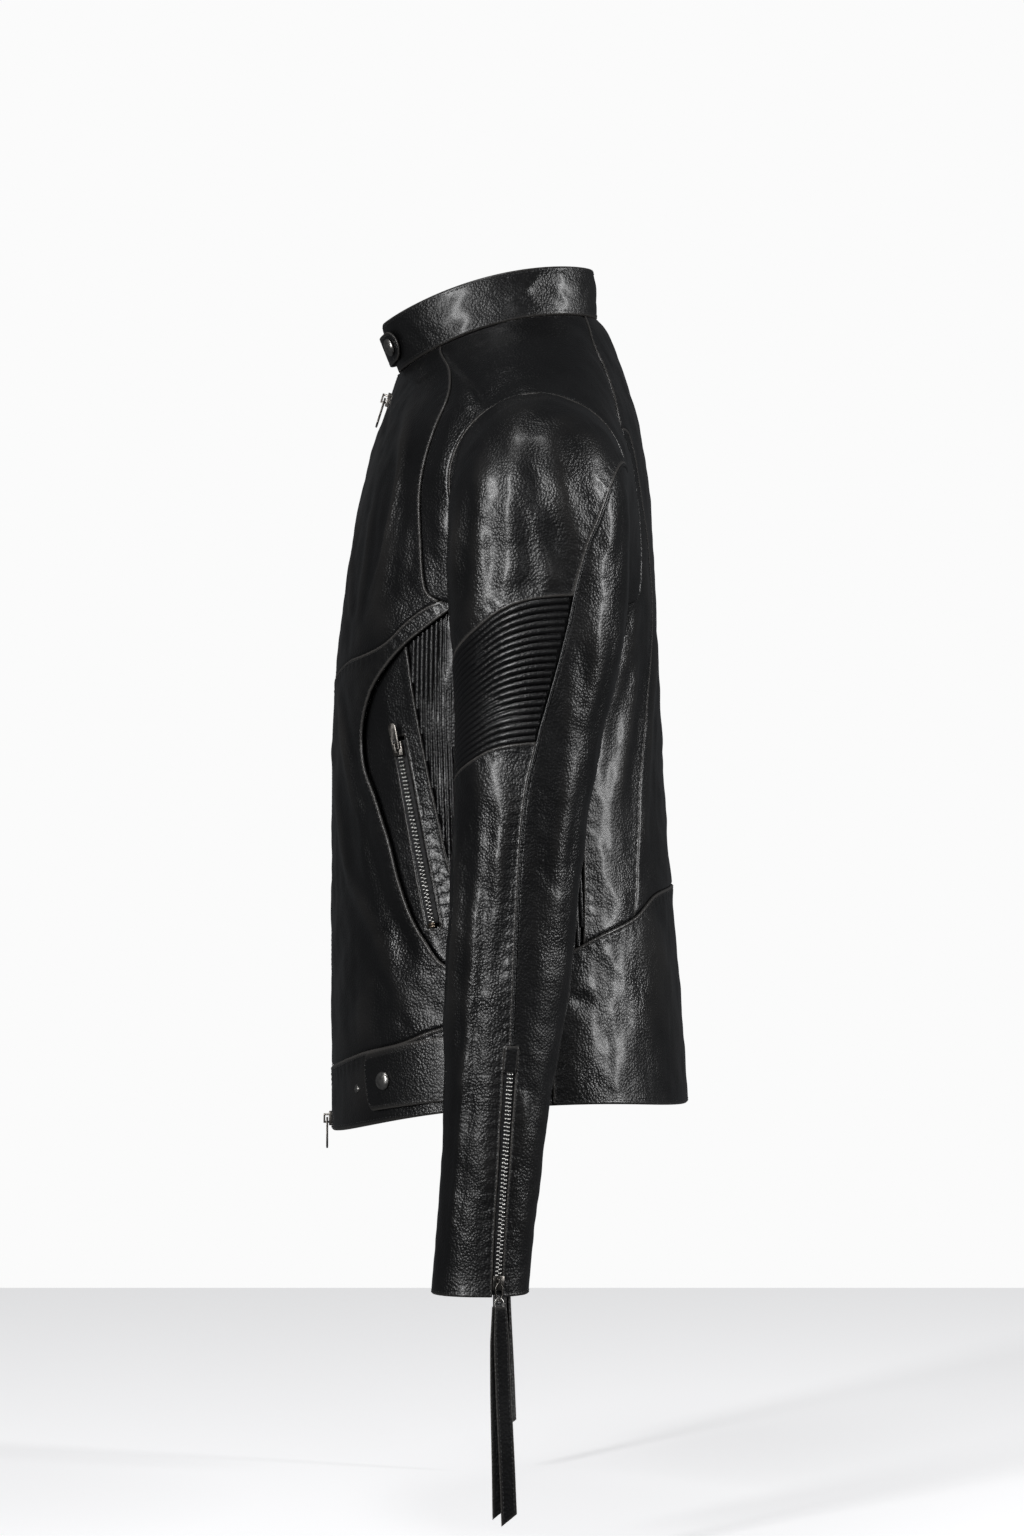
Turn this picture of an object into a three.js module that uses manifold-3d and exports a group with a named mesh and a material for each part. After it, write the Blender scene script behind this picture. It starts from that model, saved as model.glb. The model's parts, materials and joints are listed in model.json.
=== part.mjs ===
// A leather riding jacket with raglan yokes, accordion elbows and zipped pockets.
// Millimetres. +Z is up, the wearer's front is -Y and the wearer's left is +X.
// The origin is the middle of the neck, level with the base of the shoulders.

import * as THREE from "three";
import { mergeVertices } from "three/addons/utils/BufferGeometryUtils.js";
import Module from "manifold-3d";

const wasm = await Module();
wasm.setup();

// ---------------------------------------------------------------- driving dimensions
const LEATHER = 1.6; // thickness of one layer of leather
const LINING = 1.0; // thickness of the lining cloth
const SEAM_GAP = 0.5; // running gap between two panels at a seam
const SEAT_GAP = 0.3; // gap where one piece rests on another
const NECK_HALF = 72; // half width of the neck ring
const CHEST_HALF = 184; // half width at the armpits
const WAIST_HALF = 179; // half width at the waist
const HEM_HALF = 188; // half width at the hem
const BODY_LENGTH = 591; // side of the neck to the hem at the side seam
const CHEST_FRONT = 134; // how far the chest stands in front of the neck
const FRONT_RADIUS = 1000; // curve of the front edge, seen from the side
const STRAIGHT_FROM = 338; // how far below the neck the front edge turns straight
const ARMPIT_LEVEL = 260; // above this the body's sections keep their places
const ARMHOLE_RADIUS = 67;
const ARMHOLE_Y = 30;
const ARMHOLE_Z = -114.5;
const ARM_LENGTH = 545; // end of the shoulder bend to the cuff
const CUFF_DEPTH = 36.4; // half the cuff, front to back
const CUFF_WIDTH = 33; // half the cuff, side to side
const SHOULDER_BULGE = 6; // fullness of the sleeve head
const ELBOW_DROP = 108; // end of the shoulder bend to the elbow's axis
const COLLAR_HEIGHT = 38;
const COLLAR_THICKNESS = 4; // two layers of leather and a stiffener
const FRONT_EDGE = 6.5; // centre line to the leather's front edge
const FACING_EDGE = 19; // centre line to the lining's front edge
const ZIP_TAPE = 13; // width of one main zip tape
const TEETH_HALF = 3.2; // half width of the closed main chain
const SMALL_TEETH_HALF = 2.4; // half width of a pocket or sleeve chain
const SMALL_TAPE_HALF = 5.2;
const PULL_LENGTH = 24;
const POCKET_PULL_LENGTH = 20;
const STRAP_LENGTH = 183;
const STRAP_WIDTH = 12;
const SNAP_RADIUS = 7.2;
const STUD_RADIUS = 4.6;

const ARMHOLE_X = CHEST_HALF + 4; // plane where each sleeve meets its yoke
const HEM_LEVEL = 10; // the body's last section
const SLEEVE_HEAD = -100; // start of the shoulder bend, on the sleeve's own scale
const degrees = Math.PI / 180;

// ---------------------------------------------------------------- colours and finishes
const finishes = {
  leather: { color: 0x1c1c1e, roughness: 0.42, metalness: 0 },
  lining: { color: 0x232326, roughness: 0.85, metalness: 0 },
  tape: { color: 0x161618, roughness: 0.9, metalness: 0 },
  gunmetal: { color: 0x5b564f, roughness: 0.3, metalness: 1 },
  nickel: { color: 0xa9a49b, roughness: 0.25, metalness: 1 },
};

const jacket = new THREE.Group();

// ---------------------------------------------------------------- solids and meshes
function solidOf(geometry) {
  const bare = geometry.clone();
  bare.deleteAttribute("normal");
  bare.deleteAttribute("uv");
  const merged = mergeVertices(bare, 1e-4);
  const source = { numProp: 3, vertProperties: merged.attributes.position.array, triVerts: merged.index.array };
  return new wasm.Manifold(new wasm.Mesh(source));
}

function addPiece(name, solid, finish) {
  const mesh = solid.getMesh();
  const geometry = new THREE.BufferGeometry();
  geometry.setAttribute("position", new THREE.BufferAttribute(mesh.vertProperties, 3));
  geometry.setIndex(new THREE.BufferAttribute(mesh.triVerts, 1));
  const piece = new THREE.Mesh(geometry, new THREE.MeshStandardMaterial(finishes[finish]));
  piece.name = name;
  jacket.add(piece);
}

function box(width, depth, height, x, y, z) {
  return solidOf(new THREE.BoxGeometry(width, depth, height).translate(x, y, z));
}

function union(solids) {
  return solids.reduce((whole, next) => whole.add(next));
}

// The mirror image of a solid across the jacket's middle.
function mirrored(solid) {
  return solid.mirror([1, 0, 0]);
}

// A closed solid through rings of points; each ring is one closed loop of the same count.
// Opposite walls are split along the same diagonal, so that a thin wall can twist.
function loft(rings) {
  const count = rings[0].length;
  const points = rings.flat();
  const faces = [];
  for (let r = 0; r + 1 < rings.length; r += 1) {
    for (let c = 0; c < count; c += 1) {
      const a = r * count + c;
      const b = r * count + ((c + 1) % count);
      if (c < count / 2) {
        faces.push(a, b, b + count, a, b + count, a + count);
      } else {
        faces.push(a, b, a + count, b, b + count, a + count);
      }
    }
  }
  const last = (rings.length - 1) * count;
  for (const [a, b, c] of THREE.ShapeUtils.triangulateShape(flattened(rings[0]), [])) {
    faces.push(a, c, b);
    faces.push(last + a, last + b, last + c);
  }
  return closedSolid(points, faces);
}

// A planar loop's points in its own plane, so that it can be triangulated.
function flattened(ring) {
  const across = ring[1].clone().sub(ring[0]).normalize();
  const normal = new THREE.Vector3();
  for (let i = 0; i < ring.length; i += 1) {
    normal.add(ring[i].clone().sub(ring[0]).cross(ring[(i + 1) % ring.length].clone().sub(ring[0])));
  }
  normal.normalize();
  const up = normal.clone().cross(across);
  return ring.map((point) => new THREE.Vector2(point.dot(across), point.dot(up)));
}

function closedSolid(points, faces) {
  let volume = 0;
  for (let i = 0; i < faces.length; i += 3) {
    const [a, b, c] = [points[faces[i]], points[faces[i + 1]], points[faces[i + 2]]];
    volume += a.dot(b.clone().cross(c));
  }
  if (volume < 0) {
    faces.reverse();
  }
  const geometry = new THREE.BufferGeometry().setFromPoints(points);
  geometry.setIndex(faces);
  return solidOf(geometry);
}

// A sheet with thickness over a grid; at(row, column) gives its outer and inner point.
function sheet(rows, columns, wraps, at) {
  const points = [];
  for (const layer of [0, 1]) {
    for (let r = 0; r < rows; r += 1) {
      for (let c = 0; c < columns; c += 1) {
        points.push(at(r, c)[layer]);
      }
    }
  }
  const faces = [];
  const quad = (a, b, c, d) => faces.push(a, b, c, a, c, d);
  const index = (layer, r, c) => (layer * rows + r) * columns + (c % columns);
  const spans = wraps ? columns : columns - 1;
  for (let c = 0; c < spans; c += 1) {
    for (let r = 0; r + 1 < rows; r += 1) {
      quad(index(0, r, c), index(0, r, c + 1), index(0, r + 1, c + 1), index(0, r + 1, c));
      quad(index(1, r, c), index(1, r + 1, c), index(1, r + 1, c + 1), index(1, r, c + 1));
    }
    quad(index(0, 0, c), index(1, 0, c), index(1, 0, c + 1), index(0, 0, c + 1));
    quad(index(0, rows - 1, c), index(0, rows - 1, c + 1), index(1, rows - 1, c + 1), index(1, rows - 1, c));
  }
  if (!wraps) {
    for (let r = 0; r + 1 < rows; r += 1) {
      quad(index(0, r, 0), index(0, r + 1, 0), index(1, r + 1, 0), index(1, r, 0));
      const c = columns - 1;
      quad(index(0, r, c), index(1, r, c), index(1, r + 1, c), index(0, r + 1, c));
    }
  }
  return closedSolid(points, faces);
}

// A smooth value through a list of numbers, read at a fractional place in it.
function smooth(values, place) {
  const last = values.length - 1;
  const i = Math.min(Math.max(Math.floor(place), 0), last - 1);
  const t = place - i;
  const before = values[Math.max(i - 1, 0)];
  const after = values[Math.min(i + 2, last)];
  const [a, b] = [values[i], values[i + 1]];
  const slope = -before + b;
  const bend = 2 * before - 5 * a + 4 * b - after;
  const twist = -before + 3 * a - 3 * b + after;
  return 0.5 * (2 * a + slope * t + bend * t * t + twist * t * t * t);
}

// ---------------------------------------------------------------- the body's surface
// Each section is a rounded loop: the heights of its front, side and back, how far back it
// reaches, its half width, and how square it is (2 is an ellipse). Sections below the
// armpits share out the rest of the body's length.
const lower = (share) => -ARMPIT_LEVEL - (BODY_LENGTH - ARMPIT_LEVEL) * share;
const sections = [
  { front: -17, side: 17, back: 26, rear: 78, half: NECK_HALF, square: 2 },
  { front: -33, side: 0, back: 8, rear: 89, half: NECK_HALF + 36, square: 2 },
  { front: -60, side: -24, back: -20, rear: 99, half: CHEST_HALF - 36, square: 2.1 },
  { front: -95, side: -55, back: -60, rear: 110, half: CHEST_HALF - 8, square: 2.3 },
  { front: -140, side: -110, back: -115, rear: 118, half: CHEST_HALF, square: 2.5 },
  { front: -190, side: -185, back: -180, rear: 123, half: CHEST_HALF, square: 2.6 },
  { front: lower(0), side: lower(0), back: lower(0), rear: 127, half: WAIST_HALF + 3, square: 2.5 },
  { front: lower(0.24), side: lower(0.24), back: lower(0.24), rear: 131, half: WAIST_HALF, square: 2.4 },
  { front: lower(0.51), side: lower(0.51), back: lower(0.51), rear: 138, half: WAIST_HALF + 1, square: 2.4 },
  { front: lower(0.78), side: lower(0.77), back: lower(0.77), rear: 144, half: HEM_HALF - 4, square: 2.4 },
  { front: lower(1) - 28, side: lower(1), back: lower(1) - 6, rear: 149.6, half: HEM_HALF, square: 2.4 },
];
const sectionValues = {};
for (const key of Object.keys(sections[0])) {
  sectionValues[key] = sections.map((section) => section[key]);
}

// How far forward the front edge lies at a height.
function frontAt(z) {
  const above = Math.max(z + STRAIGHT_FROM, 0);
  return -CHEST_FRONT + FRONT_RADIUS - Math.sqrt(FRONT_RADIUS ** 2 - above ** 2);
}

function sectionAt(level) {
  const found = {};
  for (const [key, values] of Object.entries(sectionValues)) {
    found[key] = smooth(values, level);
  }
  return found;
}

// The angle is 0 at the front, 90 at the wearer's left and 180 at the back.
function bodySurface(angle, level) {
  const at = sectionAt(level);
  const front = frontAt(at.front);
  const middle = (front + at.rear) / 2;
  const depth = (at.rear - front) / 2;
  const [c, s] = [Math.cos(angle * degrees), Math.sin(angle * degrees)];
  const round = (value) => Math.sign(value) * Math.abs(value) ** (2 / at.square);
  const height = at.side + ((at.front - at.back) / 2) * c + ((at.front + at.back) / 2 - at.side) * c * c;
  return new THREE.Vector3(at.half * round(s), middle - depth * round(c), height);
}

function normalOf(surface, a, b, stepA, stepB) {
  const alongA = surface(a + stepA, b).sub(surface(a - stepA, b));
  const alongB = surface(a, b + stepB).sub(surface(a, b - stepB));
  return alongB.cross(alongA).normalize();
}

function bodyNormal(angle, level) {
  return normalOf(bodySurface, angle, Math.min(Math.max(level, 0.02), 9.98), 0.5, 0.02);
}

function bodyPoint(angle, level, out) {
  return bodySurface(angle, level).addScaledVector(bodyNormal(angle, level), out);
}

// The angle at which the body is a given distance to the left of its middle, at the front.
function angleAtX(x, level) {
  const at = sectionAt(level);
  return Math.asin((x / at.half) ** (at.square / 2)) / degrees;
}

// ---------------------------------------------------------------- cutting along seams
// Places along a smooth line on a surface, about one step apart in real length.
function evenRoute(point, places, step) {
  const line = new THREE.CatmullRomCurve3(places.map(([a, b]) => new THREE.Vector3(a, b, 0)));
  const fine = line.getPoints(places.length * 12);
  const spots = fine.map((place) => point(place.x, place.y, 0));
  const travelled = [0];
  for (let i = 1; i < spots.length; i += 1) {
    travelled.push(travelled[i - 1] + spots[i].distanceTo(spots[i - 1]));
  }
  const count = Math.ceil(travelled.at(-1) / step) + 1;
  return Array.from({ length: count + 1 }, (_, i) => {
    const goal = (travelled.at(-1) * i) / count;
    const next = Math.max(1, travelled.findIndex((sum) => sum >= goal - 1e-9));
    const share = (goal - travelled[next - 1]) / (travelled[next] - travelled[next - 1]);
    return fine[next - 1].clone().lerp(fine[next], share);
  });
}

// A thin wall through a surface along a smooth line, used to part two panels. Flat facets
// lie inside the true surface, so the wall reaches further in than out.
const BLADE_OUT = 1.5;
const BLADE_IN = 8;
const BLADE_STEP = 17;
function seamBlade(point, places) {
  const route = evenRoute(point, places, BLADE_STEP);
  const count = route.length - 1;
  const centres = route.map((place) => point(place.x, place.y, 0));
  const rings = route.map((place, i) => {
    const ahead = centres[Math.min(i + 1, count)].clone().sub(centres[Math.max(i - 1, 0)]).normalize();
    const out = point(place.x, place.y, 1).sub(centres[i]).normalize();
    const aside = out.clone().cross(ahead).normalize().multiplyScalar(SEAM_GAP / 2);
    const inner = centres[i].clone().addScaledVector(out, -BLADE_IN);
    const outer = centres[i].clone().addScaledVector(out, BLADE_OUT);
    return [inner.clone().sub(aside), inner.clone().add(aside), outer.clone().add(aside), outer.clone().sub(aside)];
  });
  return loft(rings);
}

// A side-view outline, in Y and Z, carried through the jacket along X.
function sidePrism(outline, from, to) {
  const shape = new THREE.Shape(outline);
  const geometry = new THREE.ExtrudeGeometry(shape, { depth: to - from, bevelEnabled: false });
  const turn = new THREE.Matrix4().makeBasis(
    new THREE.Vector3(0, 1, 0),
    new THREE.Vector3(0, 0, 1),
    new THREE.Vector3(1, 0, 0),
  );
  return solidOf(geometry.applyMatrix4(turn).translate(from, 0, 0));
}

// A closed outline moved inwards by a distance.
function insetOutline(outline, distance) {
  const turn = THREE.ShapeUtils.isClockWise(outline) ? -1 : 1;
  const count = outline.length;
  return outline.map((point, i) => {
    const before = point.clone().sub(outline[(i + count - 1) % count]).normalize();
    const after = outline[(i + 1) % count].clone().sub(point).normalize();
    const normal = new THREE.Vector2(-before.y - after.y, before.x + after.x).normalize();
    const squeeze = Math.max(0.4, new THREE.Vector2(-before.y, before.x).dot(normal));
    return point.clone().addScaledVector(normal, (turn * distance) / squeeze);
  });
}

// Names the bodies of a cut solid: each is found by a small probe at its own place.
function nameBodies(solid, labels) {
  const bodies = solid.decompose();
  const found = {};
  for (const [name, place] of Object.entries(labels)) {
    const probe = box(5, 5, 5, place.x, place.y, place.z);
    found[name] = bodies.find((body) => body.intersect(probe).volume() > 0.01);
  }
  return found;
}

// ---------------------------------------------------------------- seams of the body
const raglanFront = [[56, 0], [57, 0.57], [65.2, 1.61], [67.5, 2.5], [63, 3.4], [62.5, 4], [65.5, 4.6], [68.8, 5.1]];
const raglanBase = [[74, 5.24], [90, 5.34], [120, 5.36], [142, 5.3]];
const raglanBack = [[148.3, 5.17], [152, 4.6], [150.8, 3.8], [143.8, 3.1], [144.5, 2.2], [142.5, 1.2], [150, 0]];
const chestSeam = [[79, 5.2], [69.2, 5.31], [61.3, 5.46], [52.2, 5.67], [40.8, 5.78], [26.5, 5.86], [0.2, 6.1]];
const pocketSeam = [
  [82, 5.24], [77, 5.37], [69.5, 5.53], [61.5, 5.7], [52.8, 5.93], [45.2, 6.2], [40.8, 6.55], [42, 6.88],
  [48, 7.19], [54, 7.53], [58.2, 7.87], [62.8, 8.17], [68.2, 8.4], [75, 8.61], [90, 8.7], [109.2, 8.46],
  [118.5, 8.35], [134.2, 8.21], [148.3, 8.02], [167.8, 7.96], [180.5, 7.95],
];
const ribFrontSeam = [[61, 5.66], [65.2, 6.26], [68, 6.64], [71, 7.06], [74, 7.44], [77, 7.8], [88, 8.74]];
const ribBackSeam = [[113, 5.28], [115, 6], [115, 7], [112, 8.5]];
const backSeam = [[142, 3.25], [152, 3.3], [157, 4.16], [161, 4.84], [161, 5.46], [151, 6.34], [142.8, 7.19], [134.6, 8.25]];
const hemSeam = [[0.2, 9.48], [23.5, 9.41], [41.5, 9.34], [58, 9.28], [72.8, 9.16], [100.4, 9]];
const sideSeam = [[100, 8.52], [100, 10.1]];

// ---------------------------------------------------------------- panels of the body
const levels = [0, 0.5, 1, 2, 3, 4, 5, 6, 7, 8, 9, HEM_LEVEL];

// Angles round the body at one level, from the left front edge to the right one.
function anglesAt(level) {
  const first = angleAtX(FRONT_EDGE, level);
  const second = angleAtX(FACING_EDGE, level);
  const steps = 11;
  const half = [first];
  for (let i = 0; i < steps; i += 1) {
    half.push(second + ((180 - second) * i) / steps);
  }
  return [...half, 180, ...half.map((angle) => 360 - angle).reverse()];
}

// A layer of the body; skipped columns leave it short of the front edges.
function bodyShell(outer, inner, skipped = 0, heights = levels) {
  const grid = heights.map(anglesAt);
  const columns = grid[0].length - 2 * skipped;
  return sheet(heights.length, columns, false, (r, c) => {
    const place = [grid[r][c + skipped], heights[r]];
    return [bodyPoint(...place, outer(r, c)), bodyPoint(...place, inner(r, c))];
  });
}

// The raglan outline as seen from the side, which is also the yoke's edge.
const raglanLine = evenRoute(bodyPoint, [...raglanFront, ...raglanBase, ...raglanBack], 16);
const neckArc = Array.from({ length: 8 }, (_, i) => ({ x: 150 - ((i + 1) * 94) / 9, y: 0 }));
const raglanPlaces = [...raglanLine, ...neckArc];
const raglanPoints = raglanPlaces.map((place) => bodyPoint(place.x, place.y, 0));
const raglanOutline = raglanPoints.map((point) => new THREE.Vector2(point.y, point.z));

const raglanHole = sidePrism(raglanOutline, 8, ARMHOLE_X + 40);
let bodyLeather = bodyShell(() => 0, () => -LEATHER);
bodyLeather = bodyLeather.subtract(raglanHole).subtract(mirrored(raglanHole));

// The pocket zip lies straight in a slot between two points of the pocket panel.
const pocketTop = bodyPoint(59, 6.66, 0);
const pocketEnd = bodyPoint(70.6, 8.25, 0);
const pocketOut = bodyNormal(65, 7.45);

// A frame with X across a zip, Y up along it and Z outwards, set at a point.
function zipFrame(origin, along, out) {
  const up = along.clone().normalize();
  const aside = up.clone().cross(out).normalize();
  const away = aside.clone().cross(up);
  return new THREE.Matrix4().makeBasis(aside, up, away).setPosition(origin);
}

function placed(solid, frame) {
  return solid.transform(frame.elements);
}

const pocketAlong = pocketTop.clone().sub(pocketEnd);
const pocketLength = pocketAlong.length();
const pocketFrame = zipFrame(pocketEnd, pocketAlong, pocketOut);
const slotHalf = SMALL_TAPE_HALF + SEAT_GAP;
const pocketSlot = placed(
  box(2 * slotHalf, pocketLength + 6, 24, 0, pocketLength / 2, 0),
  pocketFrame,
);

const bodySeams = [chestSeam, pocketSeam, ribFrontSeam, ribBackSeam, backSeam, hemSeam, sideSeam];
const bodyCuts = union([...bodySeams.map((seam) => seamBlade(bodyPoint, seam)), pocketSlot]);
bodyLeather = bodyLeather.subtract(bodyCuts).subtract(mirrored(bodyCuts));

const panelPlaces = {
  front_upper: [30, 4],
  front_panel: [22, 7.5],
  pocket_panel: [52, 7],
  rib_panel: [90, 7],
  back_side: [128, 6.5],
  hem_front: [60, 9.6],
};
const bodyLabels = {
  centre_back: bodyPoint(180, 6, -LEATHER / 2),
  hem_back: bodyPoint(180, 9, -LEATHER / 2),
};
for (const [name, place] of Object.entries(panelPlaces)) {
  const spot = bodyPoint(...place, -LEATHER / 2);
  bodyLabels[`${name}_left`] = spot;
  bodyLabels[`${name}_right`] = spot.clone().setX(-spot.x);
}
for (const [name, solid] of Object.entries(nameBodies(bodyLeather, bodyLabels))) {
  addPiece(name, solid, "leather");
}

// ---------------------------------------------------------------- shoulder yokes
// Each yoke runs from the raglan outline to the round armhole, where its sleeve turns.
function yoke() {
  const spokes = 28;
  const turns = raglanPoints.map((p) => Math.atan2(p.z - ARMHOLE_Z, p.y - ARMHOLE_Y));
  const onOutline = (turn) => {
    for (let i = 0; i < turns.length; i += 1) {
      const j = (i + 1) % turns.length;
      const wrap = (value) => Math.atan2(Math.sin(value), Math.cos(value));
      const [from, to] = [wrap(turns[i] - turn), wrap(turns[j] - turn)];
      if (from * to <= 0 && Math.abs(from) + Math.abs(to) < 1) {
        const share = from === to ? 0 : from / (from - to);
        return raglanPoints[i].clone().lerp(raglanPoints[j], share);
      }
    }
    return raglanPoints[0].clone();
  };
  const rows = [0, 0.35, 0.75, 1, 1.06];
  const surface = (turn, share) => {
    const edge = onOutline(turn);
    const [y, z] = [Math.cos(turn) * ARMHOLE_RADIUS, Math.sin(turn) * ARMHOLE_RADIUS];
    const mouth = new THREE.Vector3(ARMHOLE_X, ARMHOLE_Y + y, ARMHOLE_Z + z);
    if (share > 1) {
      return mouth.setX(ARMHOLE_X + (share - 1) * 40);
    }
    const crown = Math.sin(share * Math.PI) * 4;
    return edge.lerp(mouth, share).add(new THREE.Vector3(crown, 0, Math.sin(turn) * crown * 0.5));
  };
  const shell = sheet(rows.length, spokes, true, (r, c) => {
    const turn = (c / spokes) * 2 * Math.PI;
    const outer = surface(turn, rows[r]);
    const along = surface(turn, Math.min(rows[r] + 0.03, 1.05)).sub(surface(turn, Math.max(rows[r] - 0.03, 0)));
    const around = surface(turn + 0.03, rows[r]).sub(surface(turn - 0.03, rows[r]));
    const normal = along.cross(around).normalize();
    const inwards = normal.x > 0 ? -1 : 1;
    return [outer, outer.clone().addScaledVector(normal, inwards * LEATHER)];
  });
  const window = sidePrism(insetOutline(raglanOutline, SEAM_GAP), 0, ARMHOLE_X - SEAM_GAP);
  return shell.intersect(window);
}
const leftYoke = yoke();
addPiece("yoke_left", leftYoke, "leather");
addPiece("yoke_right", mirrored(leftYoke), "leather");

// ---------------------------------------------------------------- sleeves
// Below the shoulder bend: drop, middle front to back, half depth, half width, inner face.
const armSections = [
  { drop: 0, middle: ARMHOLE_Y, depth: ARMHOLE_RADIUS + 2.5, width: 51, inner: 2 },
  { drop: 63, middle: ARMHOLE_Y - 1, depth: ARMHOLE_RADIUS - 3, width: 49, inner: 3 },
  { drop: 123, middle: 23, depth: 55.5, width: 46, inner: 6 },
  { drop: 218, middle: 13.5, depth: 50.3, width: 43, inner: 9 },
  { drop: 318, middle: 5.5, depth: 46.7, width: 40, inner: 12 },
  { drop: 418, middle: -4, depth: 40, width: CUFF_WIDTH + 3, inner: 15 },
  { drop: ARM_LENGTH, middle: -14.5, depth: CUFF_DEPTH, width: CUFF_WIDTH, inner: 17 },
];
const BEND_Z = ARMHOLE_Z - ARMHOLE_RADIUS - 0.5; // the bend turns about a line just under the armhole

function armAt(drop) {
  let i = 0;
  while (i < armSections.length - 2 && drop > armSections[i + 1].drop) {
    i += 1;
  }
  const place = i + (drop - armSections[i].drop) / (armSections[i + 1].drop - armSections[i].drop);
  const found = {};
  for (const key of ["middle", "depth", "width", "inner"]) {
    found[key] = smooth(armSections.map((section) => section[key]), place);
  }
  return found;
}

// The turn is 0 at the inner face, 90 at the back, 180 at the outer face and 270 at the front.
// The reach is SLEEVE_HEAD at the armhole, 0 at the end of the bend and ARM_LENGTH at the cuff.
function sleeveSurface(turn, reach) {
  const [c, s] = [Math.cos(turn * degrees), Math.sin(turn * degrees)];
  if (reach >= 0) {
    const at = armAt(reach);
    const x = ARMHOLE_X + at.inner + at.width * (1 - c);
    return new THREE.Vector3(x, at.middle + at.depth * s, BEND_Z - reach);
  }
  const share = 1 - reach / SLEEVE_HEAD;
  const bend = share * 90 * degrees;
  const end = armSections[0];
  const width = THREE.MathUtils.lerp(ARMHOLE_RADIUS, end.width, share) + SHOULDER_BULGE * Math.sin(2 * bend);
  const depth = THREE.MathUtils.lerp(ARMHOLE_RADIUS, end.depth, share);
  const radius = THREE.MathUtils.lerp(0.5, end.inner, share) + width * (1 - c);
  const y = ARMHOLE_Y + depth * s;
  return new THREE.Vector3(ARMHOLE_X + radius * Math.sin(bend), y, BEND_Z + radius * Math.cos(bend));
}

function sleevePoint(turn, reach, out) {
  const along = Math.min(Math.max(reach, SLEEVE_HEAD + 1), ARM_LENGTH - 1);
  const normal = normalOf(sleeveSurface, turn, along, 1, 1).negate();
  if (reach <= SLEEVE_HEAD) {
    normal.setX(0).normalize();
  }
  return sleeveSurface(turn, reach).addScaledVector(normal, out);
}

const reaches = [SLEEVE_HEAD, -75, -50, -25, 0, 35, 80, 123, 170, 218, 318, 418, ARM_LENGTH];
const SLEEVE_COLUMNS = 14;

function sleeveShell(outer, inner) {
  return sheet(reaches.length, SLEEVE_COLUMNS, true, (r, c) => {
    const turn = (c / SLEEVE_COLUMNS) * 360;
    return [sleevePoint(turn, reaches[r], outer(r)), sleevePoint(turn, reaches[r], inner(r))];
  });
}

const backSleeveSeam = [
  [86, -106], [98, -85], [118, -55], [138, -25], [152.6, 0], [161.5, 51], [169, 100], [174, 135], [178.5, 175],
  [176.6, 248], [174, 308], [170, 362],
];
const innerSleeveSeam = [[308, -106], [318, -50], [334, 0], [339, 108], [344, 218], [353, 378], [364, 552]];
const elbowTopSeam = [
  [151, 22], [173, 23.6], [189, 26.6], [206, 34], [226.5, 48.4], [249.4, 61.6], [270, 72], [300, 80], [345, 84],
];
const elbowLowSeam = [
  [168, 130], [194.4, 132.2], [211.8, 136], [231.5, 144.3], [256.4, 154], [270, 158], [300, 160], [347, 156],
];
const elbowCut = [[-25, ELBOW_DROP], [20, ELBOW_DROP], [90, ELBOW_DROP], [174, ELBOW_DROP]];

const cuffZipTop = sleevePoint(170.3, 362, 0);
const cuffZipEnd = sleevePoint(159.5, ARM_LENGTH - 5, 0);
const cuffZipOut = sleevePoint(164, 460, 1).sub(sleevePoint(164, 460, 0));
const cuffZipAlong = cuffZipTop.clone().sub(cuffZipEnd);
const cuffZipLength = cuffZipAlong.length();
const cuffZipFrame = zipFrame(cuffZipEnd, cuffZipAlong, cuffZipOut);
const cuffSlot = placed(
  box(2 * slotHalf, cuffZipLength + 24, 24, 0, cuffZipLength / 2 - 10, 0),
  cuffZipFrame,
);

const sleeveSeams = [backSleeveSeam, innerSleeveSeam, elbowTopSeam, elbowLowSeam, elbowCut];
const sleeveCuts = union([...sleeveSeams.map((seam) => seamBlade(sleevePoint, seam)), cuffSlot]);
const sleeveLeather = sleeveShell(() => 0, () => -LEATHER).subtract(sleeveCuts);
const sleeveLabels = {
  sleeve_outer: sleevePoint(200, -30, -1.5),
  under_sleeve_upper: sleevePoint(60, 50, -1.5),
  elbow_ribs: sleevePoint(215, 90, -1.5),
  forearm: sleevePoint(230, 300, -1.5),
  under_sleeve_lower: sleevePoint(80, 300, -1.5),
};
for (const [name, solid] of Object.entries(nameBodies(sleeveLeather, sleeveLabels))) {
  addPiece(`${name}_left`, solid, "leather");
  addPiece(`${name}_right`, mirrored(solid), "leather");
}

// ---------------------------------------------------------------- lining
// Lining is sewn close to the leather at its edges and hangs away from it in between.
const SEWN = -LEATHER - SEAT_GAP - 0.1;
const HUNG = -6.2;
const sleeveHung = (r) => (r < 1 || r > reaches.length - 2 ? SEWN : SEWN - 2);
const sleeveLining = sleeveShell(sleeveHung, (r) => sleeveHung(r) - LINING);
addPiece("sleeve_lining_left", sleeveLining, "lining");
addPiece("sleeve_lining_right", mirrored(sleeveLining), "lining");

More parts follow.
